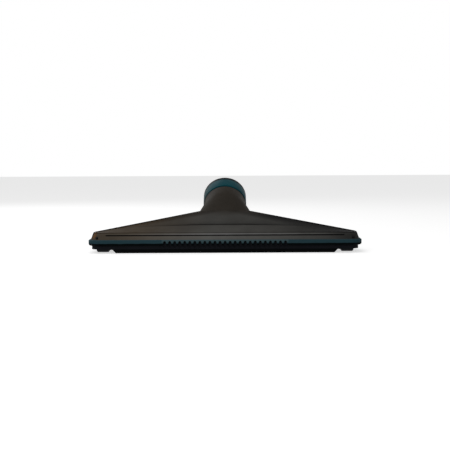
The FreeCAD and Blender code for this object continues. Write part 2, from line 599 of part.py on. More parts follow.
def make_cuff_washer():
    """The slim friction washer between the hood's end and the cuff's shoulder."""
    return neck_ring(WASHER_RADIUS, SPIGOT_RADIUS + SPIGOT_CLEARANCE, 0.1, WASHER_LENGTH - 0.1)


def make_wand_seal():
    """The rubber ring at the mouth, round the wand."""
    return neck_ring(CUFF_RADIUS, SOCKET_RADIUS + SEAL_CLEARANCE, CUFF_LENGTH - SEAL_LENGTH, CUFF_LENGTH)


# ---- Blade insert --------------------------------------------------------------------------------------
def clamp_screw_xs():
    step = 2 * CLAMP_SCREW_REACH / (CLAMP_SCREW_COUNT - 1)
    return [-CLAMP_SCREW_REACH + i * step for i in range(CLAMP_SCREW_COUNT)]


def make_blade_insert():
    """The frame that carries both blades and is screwed up into the mouth."""
    frame = box(-INSERT_HALF_LENGTH, INSERT_HALF_LENGTH, INSERT_FRONT, INSERT_REAR,
                INSERT_BOTTOM, INSERT_TOP)
    inner = INSERT_HALF_LENGTH - INSERT_END_LENGTH
    blade_room = BLADE_HALF_LENGTH + BLADE_END_PLAY
    front, rear = INSERT_FRONT + INSERT_WALL, INSERT_REAR - INSERT_WALL
    above = INSERT_TOP + 1
    frame = frame.cut(box(-inner, inner, front, rear, 0, above))
    frame = frame.cut(box(-FAR, FAR, front, rear, 0, INSERT_END_BOTTOM))
    for near in (front, rear - BLADE_THICKNESS):
        frame = frame.cut(box(-blade_room, blade_room, near, near + BLADE_THICKNESS, 0, above))
    for x in (-INSERT_RIB_X, INSERT_RIB_X):
        half = INSERT_RIB_WIDTH / 2
        rib = box(x - half, x + half, front, rear, INSERT_RIB_BOTTOM, INSERT_TOP)
        side_room = BLADE_THICKNESS + CLAMP_THICKNESS
        for near in (front, rear - side_room):
            rib = rib.cut(box(-FAR, FAR, near, near + side_room, 0, BLADE_HEIGHT))
        frame = frame.fuse(rib)
    for seat in insert_screw_places():
        foot = Vector(seat.x, seat.y, 0)
        frame = frame.cut(Part.makeCylinder(SCREW_RADIUS + SCREW_CLEARANCE, above, foot, Vector(0, 0, 1)))
    for x in clamp_screw_xs():
        for face, direction in ((front, -1), (rear, 1)):
            start, along = Vector(x, face, CLAMP_MIDDLE), Vector(0, direction, 0)
            frame = frame.cut(Part.makeCylinder(SCREW_RADIUS, INSERT_WALL - 1, start, along))
    return frame.removeSplitter()


def blade_holes(shape, y0, y1):
    """The same shape with the clamp screws' holes through it."""
    for x in clamp_screw_xs():
        start = Vector(x, y0 - 1, CLAMP_MIDDLE)
        shape = shape.cut(Part.makeCylinder(SCREW_RADIUS + SCREW_CLEARANCE, y1 - y0 + 2, start,
                                            Vector(0, 1, 0)))
    return shape


def make_blade(near, notched):
    """A rubber blade. The rear one is notched along its foot: it leads when the tool is pulled back."""
    x, c = BLADE_HALF_LENGTH, BLADE_CHAMFER
    outline = ((-x + c, 0), (x - c, 0), (x, c), (x, BLADE_HEIGHT), (-x, BLADE_HEIGHT), (-x, c))
    ring = [Vector(a, near, b) for a, b in outline]
    blade = Part.Face(Part.makePolygon(ring + ring[:1])).extrude(Vector(0, BLADE_THICKNESS, 0))
    if notched:
        count = int(2 * (BLADE_HALF_LENGTH - BLADE_NOTCH_PITCH / 2) / BLADE_NOTCH_PITCH)
        for i in range(count + 1):
            x = (i - count / 2) * BLADE_NOTCH_PITCH
            blade = blade.cut(box(x - BLADE_NOTCH_WIDTH / 2, x + BLADE_NOTCH_WIDTH / 2, near - 1,
                                  near + BLADE_THICKNESS + 1, -1, BLADE_NOTCH_HEIGHT))
    return blade_holes(blade, near, near + BLADE_THICKNESS)


def make_clamp(near):
    """A stainless strip that clamps a blade to the insert's wall."""
    strip = box(-CLAMP_HALF_LENGTH, CLAMP_HALF_LENGTH, near, near + CLAMP_THICKNESS, CLAMP_BOTTOM,
                CLAMP_BOTTOM + CLAMP_HEIGHT)
    return blade_holes(strip, near, near + CLAMP_THICKNESS)


def make_clamp_screws(seat_y, direction):
    """The row of screws through one clamp and its blade, as separate solids."""
    length = CLAMP_THICKNESS + BLADE_THICKNESS + INSERT_WALL - 1.2
    return Part.makeCompound([pan_screw(Vector(x, seat_y, CLAMP_MIDDLE), Vector(0, direction, 0), length)
                              for x in clamp_screw_xs()])


def make_insert_screws():
    """The four screws that hold the insert up in the mouth."""
    return Part.makeCompound([pan_screw(seat, Vector(0, 0, 1), INSERT_SCREW_LENGTH)
                              for seat in insert_screw_places()])


def make_rear_cover_screws():
    """The screws through the housing's rim into the back of the deck."""
    return Part.makeCompound([pan_screw(seat, inward, SEAM_GAP + HOUSING_WALL + REAR_SCREW_BITE)
                              for seat, inward in rear_screw_places()])


def make_end_cover_screws():
    """The two small screws that pull the front band onto the housing's ends."""
    return Part.makeCompound([pan_screw(seat, Vector(0, 1, 0), END_SCREW_LENGTH, SMALL_HEAD_RADIUS)
                              for seat in end_screw_places()])


# ---- Rollers -------------------------------------------------------------------------------------------
def make_roller(centre):
    """A nylon roller with bevelled rims."""
    start = centre - Vector(ROLLER_WIDTH / 2, 0, 0)
    roller = Part.makeCylinder(ROLLER_RADIUS, ROLLER_WIDTH, start, Vector(1, 0, 0))
    rims = [e for e in roller.Edges if e.Length > 2 * math.pi * ROLLER_RADIUS - 0.1 and e.Closed]
    roller = roller.makeChamfer(ROLLER_CHAMFER, rims)
    bore = Part.makeCylinder(AXLE_RADIUS + AXLE_CLEARANCE, ROLLER_WIDTH + 2, start - Vector(1, 0, 0),
                             Vector(1, 0, 0))
    return roller.cut(bore)


def make_axle(centre):
    """A steel pin from the pocket's inner wall out to the skirt's end face."""
    side = math.copysign(1, centre.x)
    start = centre.x - side * (ROLLER_WIDTH / 2 + ROLLER_SIDE_PLAY + AXLE_SEAT)
    length = abs(side * (SKIRT_HALF_WIDTH - 0.3) - start)
    return Part.makeCylinder(AXLE_RADIUS, length, Vector(start, centre.y, centre.z), Vector(side, 0, 0))


# ---- Assembly ------------------------------------------------------------------------------------------
def make_all():
    front_wall, rear_wall = INSERT_FRONT + INSERT_WALL, INSERT_REAR - INSERT_WALL
    nodes = {
        "top_cover": make_top_cover(),
        "lower_housing": make_lower_housing(),
        "front_bumper": make_bumper(),
        "cover_gasket": gasket_path(0),
        "swivel_cuff": make_swivel_cuff(),
        "cuff_washer": make_cuff_washer(),
        "cuff_clip": make_cuff_clip(),
        "wand_seal": make_wand_seal(),
        "blade_insert": make_blade_insert(),
        "front_blade": make_blade(front_wall, False),
        "rear_blade": make_blade(rear_wall - BLADE_THICKNESS, True),
        "front_blade_clamp": make_clamp(front_wall + BLADE_THICKNESS),
        "rear_blade_clamp": make_clamp(rear_wall - BLADE_THICKNESS - CLAMP_THICKNESS),
        "front_clamp_screws": make_clamp_screws(front_wall + BLADE_THICKNESS + CLAMP_THICKNESS, -1),
        "rear_clamp_screws": make_clamp_screws(rear_wall - BLADE_THICKNESS - CLAMP_THICKNESS, 1),
        "insert_screws": make_insert_screws(),
        "rear_cover_screws": make_rear_cover_screws(),
        "end_cover_screws": make_end_cover_screws(),
    }
    for name, centre in roller_places():
        nodes["roller_" + name] = make_roller(centre)
        nodes["axle_" + name] = make_axle(centre)
    return nodes


def export_all(nodes):
    os.makedirs("parts", exist_ok=True)
    for name, shape in nodes.items():
        placed = shape.copy()
        placed.translate(SHIFT)
        placed.exportStep(f"parts/{name}.step")
        solids = placed.Solids
        volume = sum(s.Volume for s in solids) / 1000
        print(f"{name}: {len(solids)} solid(s), {volume:.2f} cm3, valid {placed.isValid()}")


export_all(make_all())
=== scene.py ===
# %% [markdown]
# # A wet pick-up floor tool
#
# This tool fits on the wand of a commercial wet vacuum cleaner. It stands on two rubber blades and four
# rollers, and sucks water off a hard floor through the long mouth between the blades.
# The shapes come from a CAD model, loaded here as a frame that is already in its place. Each cell dresses
# one part of it: some CAD solids get a rounded copy, others are made again in finer detail, and every one
# gets a finish built from shader nodes.
# The front of the tool is -Y, the neck leaves at +Y, and Z is up. All lengths are in metres.

# %% Load the frame
import json
import math
import bmesh
import bpy
import numpy as np
from mathutils import Matrix, Vector


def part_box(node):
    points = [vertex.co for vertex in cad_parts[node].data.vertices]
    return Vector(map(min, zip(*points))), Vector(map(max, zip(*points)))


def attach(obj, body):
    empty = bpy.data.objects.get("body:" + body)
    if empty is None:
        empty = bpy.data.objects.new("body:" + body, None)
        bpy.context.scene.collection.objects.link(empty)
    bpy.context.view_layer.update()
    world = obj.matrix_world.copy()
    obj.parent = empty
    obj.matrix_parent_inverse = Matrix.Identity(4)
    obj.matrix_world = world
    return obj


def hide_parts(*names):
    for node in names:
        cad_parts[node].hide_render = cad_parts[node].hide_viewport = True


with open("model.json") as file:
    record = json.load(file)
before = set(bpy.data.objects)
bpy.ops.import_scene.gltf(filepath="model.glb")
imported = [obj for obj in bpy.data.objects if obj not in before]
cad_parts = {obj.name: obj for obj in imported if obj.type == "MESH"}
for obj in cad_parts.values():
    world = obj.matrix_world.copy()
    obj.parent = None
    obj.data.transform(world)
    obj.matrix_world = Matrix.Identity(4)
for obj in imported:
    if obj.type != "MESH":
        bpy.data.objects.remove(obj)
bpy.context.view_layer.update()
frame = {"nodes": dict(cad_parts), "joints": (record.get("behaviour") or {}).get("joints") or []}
NODES = frame["nodes"]
JOINTS = {joint["name"]: joint for joint in frame["joints"]}
MM = 0.001

# %% [markdown]
# ## Camera
#
# A long lens from far away keeps the sides of a wide, low object nearly parallel. The camera stands 1.7 m
# in front of the tool and only 13 cm above the floor, so it looks almost straight at the front and sees
# the deck at a grazing angle.

# %% Camera
CAMERA_PLACE = Vector((0.0, -1.7233, 0.1292))
CAMERA_DOWN = math.radians(3.20)      # below the horizon
CAMERA_ROLL = math.radians(-0.27)
CAMERA_LENS = 100.6                   # focal length in mm


def link(name, data):
    """A new object in the scene, at the origin."""
    thing = bpy.data.objects.new(name, data)
    bpy.context.scene.collection.objects.link(thing)
    return thing


camera = link("camera", bpy.data.cameras.new("camera"))
turn = Matrix.Rotation(math.pi / 2 - CAMERA_DOWN, 4, "X") @ Matrix.Rotation(CAMERA_ROLL, 4, "Z")
camera.matrix_world = Matrix.Translation(CAMERA_PLACE) @ turn
camera.data.lens = CAMERA_LENS
camera.data.clip_start = 0.05
bpy.context.scene.camera = camera
bpy.context.scene.view_settings.view_transform = "Standard"
print("camera at", [round(v, 3) for v in CAMERA_PLACE])

# %% [markdown]
# ## Shader nodes as arithmetic
#
# A node graph is easier to read as a sum than as boxes and wires. `Wire` holds one output of a node, and
# adding, taking away or multiplying wires adds a Math node. `Graph` holds one node tree: its `node` method
# makes any other node, sets its settings first and then fills its inputs with numbers, colours or wires.

# %% Wires and graphs
class Wire:
    """One output of a shader node, on which +, -, * and abs add Math nodes."""

    def __init__(self, graph, socket):
        self.graph = graph
        self.socket = socket

    def math(self, operation, *inputs):
        """A Math node on one or two wires or numbers."""
        return self.graph.node("ShaderNodeMath", {"operation": operation}, dict(enumerate(inputs)))

    def __add__(self, other):
        return self.math("ADD", self, other)

    def __radd__(self, other):
        return self.math("ADD", other, self)

    def __sub__(self, other):
        return self.math("SUBTRACT", self, other)

    def __rsub__(self, other):
        return self.math("SUBTRACT", other, self)

    def __mul__(self, other):
        return self.math("MULTIPLY", self, other)

    def __rmul__(self, other):
        return self.math("MULTIPLY", other, self)

    def __abs__(self):
        return self.math("ABSOLUTE", self)


class Graph:
    """A node tree that is being built."""

    def __init__(self, tree):
        self.tree = tree

    def fill(self, node, values):
        """Puts numbers, colours or wires into a node's inputs, by name or by number."""
        for key, value in values.items():
            if isinstance(value, Wire):
                self.tree.links.new(value.socket, node.inputs[key])
            else:
                node.inputs[key].default_value = value

    def node(self, kind, settings=None, values=None, output=0):
        """Any node: its settings first, then its inputs. Returns the wire from one of its outputs."""
        node = self.tree.nodes.new(kind)
        for key, value in (settings or {}).items():
            if key == "stops":
                self.set_stops(node.color_ramp, value)
            else:
                setattr(node, key, value)
        self.fill(node, values or {})
        return Wire(self, node.outputs[output])

    def set_stops(self, ramp, stops):
        """Gives a ramp its (position, grey level) stops."""
        while len(ramp.elements) < len(stops):
            ramp.elements.new(1.0)
        for element, (position, level) in zip(ramp.elements, stops):
            element.position = position
            element.color = (level, level, level, 1)


# %% [markdown]
# ## Finishes
#
# A `Finish` is the graph of one material. It adds short names for what every finish needs: noise, curves,
# masks, blends and bumps, all placed by the object's own coordinates, so that they move with the piece.
# Numbers that are the same all over go straight onto the shader.

# %% Finishes
class Finish(Graph):
    """A material that is being built, with its shader's constant values set by name."""

    def __init__(self, name, **constants):
        self.material = bpy.data.materials.new(name)
        self.material.use_nodes = True
        super().__init__(self.material.node_tree)
        self.shader = self.tree.nodes["Principled BSDF"]
        self.place = self.node("ShaderNodeTexCoord", output="Object")
        self.shade(**constants)

    def noise(self, scale, detail=3.0, roughness=0.5, place=None):
        """Cloudy noise from 0 to 1, with about `scale` blobs in a metre."""
        values = {"Vector": place or self.place, "Scale": scale, "Detail": detail, "Roughness": roughness}
        return self.node("ShaderNodeTexNoise", {"noise_dimensions": "3D"}, values)

    def stretched(self, scale):
        """The object's coordinates, scaled by three numbers."""
        return self.node("ShaderNodeMapping", None, {"Vector": self.place, "Scale": scale})

    def ramp(self, value, stops):
        """A soft step or curve on a value from 0 to 1."""
        return self.node("ShaderNodeValToRGB", {"stops": stops}, {"Fac": value})

    def span(self, value, low, high):
        """0 where value is low, 1 where it is high, and limited in between."""
        return self.node("ShaderNodeMapRange", {"clamp": True},
                         {"Value": value, "From Min": low, "From Max": high, "To Min": 0.0, "To Max": 1.0})

    def stripe(self, value, start, full, fade, end):
        """0 up to start, 1 from full to fade, and 0 again from end. The four numbers are in mm."""
        return self.span(value, start * MM, full * MM) * self.span(value, end * MM, fade * MM)

    def axis(self, name):
        """One coordinate of the place on the object."""
        return self.node("ShaderNodeSeparateXYZ", None, {"Vector": self.place}, output=name)

    def edges(self):
        """1 on the outer edges of a piece, which needs points close together to show them."""
        return self.span(self.node("ShaderNodeNewGeometry", output="Pointiness"), 0.52, 0.60)

    def mix(self, factor, first, second):
        """A blend of two colours."""
        return self.node("ShaderNodeMix", {"data_type": "RGBA"},
                         {"Factor": factor, 6: first, 7: second}, output=2)

    def bump(self, height, distance, strength=1.0, under=None):
        """A bump map from a height from 0 to 1, over `distance` metres."""
        values = {"Height": height, "Distance": distance, "Strength": strength}
        if under:
            values["Normal"] = under
        return self.node("ShaderNodeBump", None, values)

    def shade(self, **values):
        """Fills the shader's inputs with constants, or with wires for what changes over the surface."""
        self.fill(self.shader, {name.replace("_", " "): value for name, value in values.items()})
        return self.material


def rgb(red, green, blue):
    """A colour as it looks on a screen, 0 to 255, turned into the linear light that shaders use."""
    def linear(value):
        value /= 255
        return value / 12.92 if value <= 0.04045 else ((value + 0.055) / 1.055) ** 2.4
    return (linear(red), linear(green), linear(blue), 1.0)


print("middle grey on a screen is", round(rgb(128, 128, 128)[0], 3), "of full light")

# %% [markdown]
# ## Light, floor and background
#
# Big soft lamps stand above, in front and behind, as in a small studio. The background is white for rays
# that come from the camera, or that gloss and glass send on, and a soft grey for the others. The floor
# glows a little for those first rays too, so that it is nearly as white as the background and still keeps
# the shadow under the tool. Its far part stays a little greyer than the background.

# %% Light and floor
SKY_LIGHT = 0.30
FLOOR_GREY = 0.62
FLOOR_GLOW = 0.62
FLOOR_HALF_WIDTH = 6.0


def shown(graph):
    """1 for rays from the camera and for those that gloss and glass send on."""
    direct, glossy, glass = (graph.node("ShaderNodeLightPath", output=kind)
                             for kind in ("Is Camera Ray", "Is Glossy Ray", "Is Transmission Ray"))
    return direct.math("MAXIMUM", direct.math("MAXIMUM", direct, glossy), glass)


def store(mesh, name):
    """Writes a mesh that was being built into new mesh data."""
    data = bpy.data.meshes.new(name)
    mesh.to_mesh(data)
    mesh.free()
    return data


def make_world():
    """White to look at, and a soft grey light on the object."""
    world = bpy.data.worlds.new("studio")
    world.use_nodes = True
    graph = Graph(world.node_tree)
    strength = SKY_LIGHT + (1 - SKY_LIGHT) * shown(graph)
    graph.fill(world.node_tree.nodes["Background"], {"Color": (1, 1, 1, 1), "Strength": strength})
    bpy.context.scene.world = world


def make_floor():
    """A wide pale floor."""
    mesh = bmesh.new()
    bmesh.ops.create_grid(mesh, x_segments=1, y_segments=1, size=FLOOR_HALF_WIDTH)
    floor = link("floor", store(mesh, "floor"))
    finish = Finish("pale_floor", Base_Color=(FLOOR_GREY, FLOOR_GREY, FLOOR_GREY, 1), Roughness=0.9,
                    Specular_IOR_Level=0.0, Emission_Color=(1, 1, 1, 1))
    floor.data.materials.append(finish.shade(Emission_Strength=FLOOR_GLOW * shown(finish)))


def make_lamp(name, place, aim, size, power):
    """A square soft box that faces a point."""
    light = bpy.data.lights.new(name, "AREA")
    light.shape = "SQUARE"
    light.size = size
    light.energy = power
    lamp = link(name, light)
    lamp.location = place
    lamp.rotation_euler = (Vector(aim) - Vector(place)).to_track_quat("-Z", "Y").to_euler()


make_world()
make_floor()
make_lamp("top_box", (-0.3, -0.4, 1.5), (0, 0, 0), 1.2, 8)
make_lamp("front_box", (-0.7, -1.5, 0.5), (0, 0, 0.03), 0.8, 9)
make_lamp("back_box", (-0.6, 1.2, 0.9), (0, 0, 0.03), 0.8, 4)
print("lamps:", [lamp.name for lamp in bpy.data.lights])

# %% [markdown]
# ## Moulded plastic
#
# The shells are injection-moulded plastic. The mould leaves a fine even grain, the pigment varies a little
# from place to place, and use leaves faint rubs along the tool. Grain is a bump only a few hundredths of a
# millimetre high, so it shows in the gloss and not in the outline. Edges of the turned parts catch more
# wear than flats, which the Pointiness of the surface shows. It is worked out at the points of the mesh, so
# the shells, with few points on their flats, do without it.

# %% Moulded plastic
def moulded(name, colour, worn, grain=1400.0, depth=0.05 * MM, roughness=0.5, tint=None, wear=0.0,
            **constants):
    """Moulded plastic with a fine grain, uneven pigment, faint scuffs and, with wear, rubbed edges."""
    finish = Finish(name, **constants)
    colour = tint(finish, colour) if tint else colour
    cloud = finish.noise(28.0, 4.0)
    speck = finish.noise(900.0, 2.0)
    scuff = finish.ramp(finish.noise(60.0, 5.0, 0.65, finish.stretched((0.25, 1.0, 1.0))),
                        [(0.55, 0.0), (0.75, 1.0)])
    edge = finish.edges() * wear if wear else 0.0
    shade = finish.mix(0.25 * finish.span(cloud, 0.3, 0.7), colour, (0.0, 0.0, 0.0, 1.0))
    shade = finish.mix(0.06 * finish.span(speck, 0.45, 0.75), shade, worn)
    shade = finish.mix(edge + 0.04 * scuff, shade, worn)
    rough = roughness + 0.10 * cloud - 0.2 * edge - 0.05 * scuff
    texture = finish.bump(finish.noise(grain, 2.0, 0.6), depth, 0.7)
    return finish.shade(Base_Color=shade, Roughness=rough, Normal=texture)


HOUSING = moulded("black_housing", rgb(22, 23, 27), rgb(50, 54, 58), Specular_IOR_Level=0.02)
INSERT = moulded("black_insert", rgb(12, 13, 15), rgb(40, 42, 46), Specular_IOR_Level=0.04)
WASHER = moulded("dark_nylon_washer", rgb(16, 22, 25), rgb(44, 52, 56), roughness=0.4,
                 Specular_IOR_Level=0.1)
NYLON = moulded("roller_nylon_finish", rgb(12, 17, 21), rgb(60, 66, 72), grain=700.0, roughness=0.42,
                wear=0.35, Specular_IOR_Level=0.1)
print("plain moulded finishes:", [m.name for m in (HOUSING, INSERT, WASHER, NYLON)])

# %% [markdown]
# ## Dust and painted light on the cover
#
# Pale dust lies on the deck and on the front band. Painted shade darkens both toward the ends, most at the
# right, and along the ridge, and it darkens the groove, the crease and the edge of the raised panel. A
# painted highlight lightens the lip above the groove, and warm painted light and a small orange painted
# highlight sit on the left end. Each of these is a mask: a stripe or a slope on one coordinate of the
# cover. Masks multiply where both must hold, and each one blends a colour over the one before.

# %% Dust on the cover
LIP_HIGHLIGHT = (24.3, 24.5, 25.2, 25.8)             # heights in mm, from where a stripe starts to where it ends
GROOVE = (22.6, 22.9, 24.3, 24.5)
CREASE = (25.9, 26.5, 27.1, 27.7)
PANEL_EDGE = (-52.4, -51.6, -51.2, -50.2)  # and places along Y
RIDGE_TOP = 52.2 * MM
RIDGE_FALL = 0.18                          # how far the ridge falls for each step outward
RIDGE_HALF = 32.5 * MM
# near-black painted shade, for the shaded end of the front band and for the hollows
PAINTED_SHADE = rgb(4, 5, 6)


def dust_and_painted_light(finish, colour):
    """Grey dust on the deck and the front band, painted shade toward the ends, along the ridge and in every
    hollow, and painted light on the lip and the left end.
    """
    x, y, z = finish.axis("X"), finish.axis("Y"), finish.axis("Z")
    along = finish.span(x, -180 * MM, 180 * MM)
    outward = abs(x)
    below_ridge = RIDGE_TOP - RIDGE_FALL * (outward - RIDGE_HALF) - z
    # Painted shade: the pale dust colour fades to near black toward the ends of the deck and the band, most
    # at the right.
    deck_dust_and_shade = finish.ramp(along, [(0.10, 0.1), (0.25, 0.45), (0.38, 0.84), (0.55, 0.88), (0.68, 0.66),
                                    (0.80, 0.25), (0.92, 0.04)])
    band_dust_and_shade = finish.ramp(along, [(0.06, 0.60), (0.30, 1.0), (0.60, 0.90), (0.75, 0.72), (0.84, 0.52),
                                    (0.95, 0.22)])
    # Painted shadow darkens a band behind the raised panel's edge, and painted shade darkens the deck close
    # under the ridge.
    panel_shade = finish.span(y, -52.0 * MM, -51.2 * MM) * (0.5 - 0.25 * finish.span(y, -51.2 * MM, -43 * MM))
    out_of_ridge_shade = finish.span(below_ridge, 1.6 * MM, 2.8 * MM + 6.0 * MM * along)
    ahead = finish.span(y, -12 * MM, -17 * MM)
    low = finish.span(z, 56 * MM, 46 * MM) * ahead
    band = finish.span(z, 26.8 * MM, 26.2 * MM) * ahead
    groove_shade = finish.stripe(z, *GROOVE) * finish.span(outward, 157.5 * MM, 156.5 * MM)
    # Pale dust over painted shade on the deck; the band is paler, dust and painted light from the front.
    deck = finish.mix(deck_dust_and_shade * (1 - panel_shade) * out_of_ridge_shade, rgb(9, 9, 9), rgb(73, 72, 69))
    front = finish.mix(band_dust_and_shade, PAINTED_SHADE, rgb(92, 91, 88))
    shade = finish.mix(band, finish.mix(low, colour, deck), front)
    # a painted highlight along the rounded lip above the groove
    shade = finish.mix(0.6 * finish.stripe(z, *LIP_HIGHLIGHT) * deck_dust_and_shade * ahead, shade, rgb(130, 130, 132))
    # Warm painted light over the left part, and a small orange painted highlight at the left end's tip.
    shade = finish.mix(0.45 * finish.span(x, -20 * MM, -120 * MM), shade, rgb(72, 55, 30))
    end_highlight = finish.span(x, -168 * MM, -174 * MM) * finish.span(z, 19 * MM, 22 * MM)
    shade = finish.mix(0.5 * end_highlight, shade, rgb(140, 88, 34))
    # Painted shade in the groove and the crease, and a painted shadow line along the raised panel's edge.
    hollow_shade = (0.9 * groove_shade + 0.35 * finish.stripe(z, *CREASE)) * ahead
    return finish.mix(hollow_shade + 0.5 * finish.stripe(y, *PANEL_EDGE), shade, PAINTED_SHADE)


COVER = moulded("warm_black_cover", rgb(45, 41, 36), rgb(90, 86, 82), tint=dust_and_painted_light,
                Specular_IOR_Level=0.02)
print("cover finish:", COVER.name, "with", len(COVER.node_tree.nodes), "nodes")

# %% [markdown]
# ## Painted light on the cuff
#
# The cuff carries a painted highlight on its left side, and painted shade blackens a ring at its open end.
# The distance along the neck's axis tells where the open end is, and the joint of the cuff gives that axis.

# %% Wear on the cuff
CUFF_AXIS = Vector(JOINTS["cuff_swivel"]["axis"])
CUFF_END = max(CUFF_AXIS.dot(corner.co) for corner in NODES["swivel_cuff"].data.vertices)
SHADED_END = 4.4 * MM          # length of the black ring at the open end
END_FADE = 1.2 * MM


def cuff_painted_light(finish, colour):
    """The cuff is paler on its left side, a painted highlight, and black at its open end, painted shade."""
    out = CUFF_AXIS.y * finish.axis("Y") + CUFF_AXIS.z * finish.axis("Z")
    # a painted highlight on the left side of the cuff
    shade = finish.mix(0.7 * finish.span(finish.axis("X"), -18 * MM, -30 * MM), colour, rgb(70, 84, 83))
    # painted shade blackens a ring at the open end
    rim_shade = finish.span(out, CUFF_END - SHADED_END, CUFF_END - SHADED_END + END_FADE)
    return finish.mix(0.85 * rim_shade, shade, rgb(4, 7, 8))


CUFF = moulded("blue_green_cuff", rgb(14, 64, 72), rgb(44, 84, 90), grain=900.0, depth=0.02 * MM,
               roughness=0.38, tint=cuff_painted_light, wear=0.2, Specular_IOR_Level=0.01)
print("cuff finish:", CUFF.name, "black beyond", round(CUFF_END - SHADED_END, 4), "m along the axis")

# %% [markdown]
# ## Soft vinyl and rubber
#
# The bumper is soft blue-green vinyl and the blades are black rubber. Both are smoother than the shells,
# with a waxy bloom: pale cloudy patches where the surface has aged. The blades also carry fine lines along
# their length, left by the knife that cut them from sheet. On the bumper, a painted highlight lightens the
# teeth and painted shade blackens the lower half. These lie over all of that, so they are mixed in last,
# and noise added to the height makes the upper edge of the shade uneven.

# %% Vinyl and rubber
def soft(name, colour, bloom, amount, lines=None, roughness=0.55, tint=None, **constants):
    """Vinyl or rubber with a cloudy bloom, and fine lines along it where lines are given."""
    finish = Finish(name, **constants)
    patch = finish.span(finish.noise(45.0, 5.0, 0.6), 0.42, 0.72)
    dust = finish.span(finish.noise(1600.0, 2.0), 0.5, 0.8)
    edge = finish.edges()
    shade = finish.mix(amount * patch * dust, colour, bloom)
    shade = finish.mix(0.4 * edge, shade, bloom)
    shade = tint(finish, shade) if tint else shade
    rough = roughness + 0.15 * patch - 0.06 * edge
    fine = finish.bump(finish.noise(2200.0, 2.0), 0.02 * MM, 0.6)
    if lines:
        fine = finish.bump(finish.noise(1.0, 3.0, 0.6, finish.stretched(lines)), 0.03 * MM, 0.5, fine)
    return finish.shade(Base_Color=shade, Roughness=rough, Normal=fine)


def bumper_painted_light(finish, colour):
    """A painted highlight makes the teeth pale, and painted shade blackens the lower half up to an uneven
    line.
    """
    height = finish.axis("Z") + (finish.noise(120.0, 3.0) - 0.5) * (1.0 * MM)
    # a painted highlight on the teeth, and painted shade over the lower half
    teeth_highlight = finish.span(abs(finish.axis("X")), 84 * MM, 82 * MM) * finish.span(height, 14 * MM, 15 * MM)
    shade = finish.mix(0.3 * teeth_highlight, colour, rgb(84, 100, 102))
    return finish.mix(finish.span(height, 13.6 * MM, 13.0 * MM), shade, rgb(2, 5, 6))


VINYL = soft("blue_green_vinyl", rgb(34, 56, 63), rgb(62, 84, 88), 0.25, tint=bumper_painted_light,
             Specular_IOR_Level=0.02)
BLADE = soft("blade_rubber_finish", rgb(5, 7, 8), rgb(30, 32, 34), 0.25, lines=(30.0, 3000.0, 3000.0),
             Specular_IOR_Level=0.02)
SEAL = soft("seal_rubber_finish", rgb(6, 7, 8), rgb(30, 32, 34), 0.2, Specular_IOR_Level=0.06)
print("soft finishes:", [m.name for m in (VINYL, BLADE, SEAL)])

# %% [markdown]
# ## Steel
#
# Stainless strips clamp the blades, the axles are ground pins, a spring clip holds the cuff, and the screws
# are zinc plated or blackened. Brushing is a noise drawn out many times longer along the strip than across
# it. Plating is cloudy, with small bright and dull spots. One function makes them all from a few numbers.

# %% Steel
def steel(name, colour, dull, brush=(300.0, 300.0, 300.0), roughness=0.3):
    """Bare or plated steel, brushed along the axis whose brush number is the smallest."""
    finish = Finish(name, Metallic=1.0)
    lines = finish.noise(1.0, 3.0, 0.6, finish.stretched(brush))
    spots = finish.span(finish.noise(500.0, 3.0), 0.45, 0.7)
    shade = finish.mix(0.5 * spots, colour, dull)
    rough = roughness + 0.18 * lines + 0.12 * spots
    return finish.shade(Base_Color=shade, Roughness=rough, Normal=finish.bump(lines, 0.02 * MM, 0.5))


STAINLESS = steel("brushed_stainless", rgb(178, 178, 176), rgb(140, 140, 138), (40.0, 2500.0, 2500.0))
PIN = steel("ground_pin", rgb(184, 184, 186), rgb(150, 150, 150), (2500.0, 300.0, 300.0), 0.22)
SPRING = steel("spring_steel_finish", rgb(150, 152, 154), rgb(110, 112, 114), (600.0, 600.0, 600.0), 0.28)
ZINC = steel("zinc_plated", rgb(170, 172, 176), rgb(126, 130, 132), (900.0, 900.0, 900.0), 0.32)
BLACKENED = steel("blackened_steel", rgb(40, 40, 42), rgb(24, 24, 25), (900.0, 900.0, 900.0), 0.38)
print("metal finishes:", [m.name for m in (STAINLESS, PIN, SPRING, ZINC, BLACKENED)])

# %% [markdown]
# ## Shells: cover, housing and insert
#
# A CAD solid arrives as loose triangles with knife-sharp edges. No moulding is that sharp, and an edge with
# no radius never catches the light. So the triangles are copied and merged, the creases are marked, and a
# narrow Bevel modifier rounds every edge that turns by more than a set angle. The forms, holes and wall
# thicknesses stay those of the CAD model.

# %% Shells
def merged_copy(node, name):
    """A copy of a CAD node's mesh with its loose triangles joined."""
    mesh = bmesh.new()
    mesh.from_mesh(NODES[node].data)
    bmesh.ops.remove_doubles(mesh, verts=mesh.verts, dist=0.002 * MM)
    bmesh.ops.dissolve_degenerate(mesh, edges=mesh.edges, dist=0.001 * MM)
    return store(mesh, name)


def add_piece(data, material, name):
    """A mesh as an object with one material."""
    data.name = name
    data.materials.clear()
    data.materials.append(material)
    return link(name, data)


def smooth(data, angle):
    """Smooth shading, with edges that turn by more than angle degrees kept sharp."""
    mesh = bmesh.new()
    mesh.from_mesh(data)
    limit = math.radians(angle)
    for face in mesh.faces:
        face.smooth = True
    for edge in mesh.edges:
        edge.smooth = len(edge.link_faces) == 2 and edge.calc_face_angle(0) < limit
    mesh.to_mesh(data)
    mesh.free()


def rounded(piece, width, angle=32, segments=2):
    """Rounds the edges of a piece that turn by more than angle degrees."""
    bevel = piece.modifiers.new("rounded edges", "BEVEL")
    bevel.width = width
    bevel.segments = segments
    bevel.limit_method = "ANGLE"
    bevel.angle_limit = math.radians(angle)
    bevel.harden_normals = True


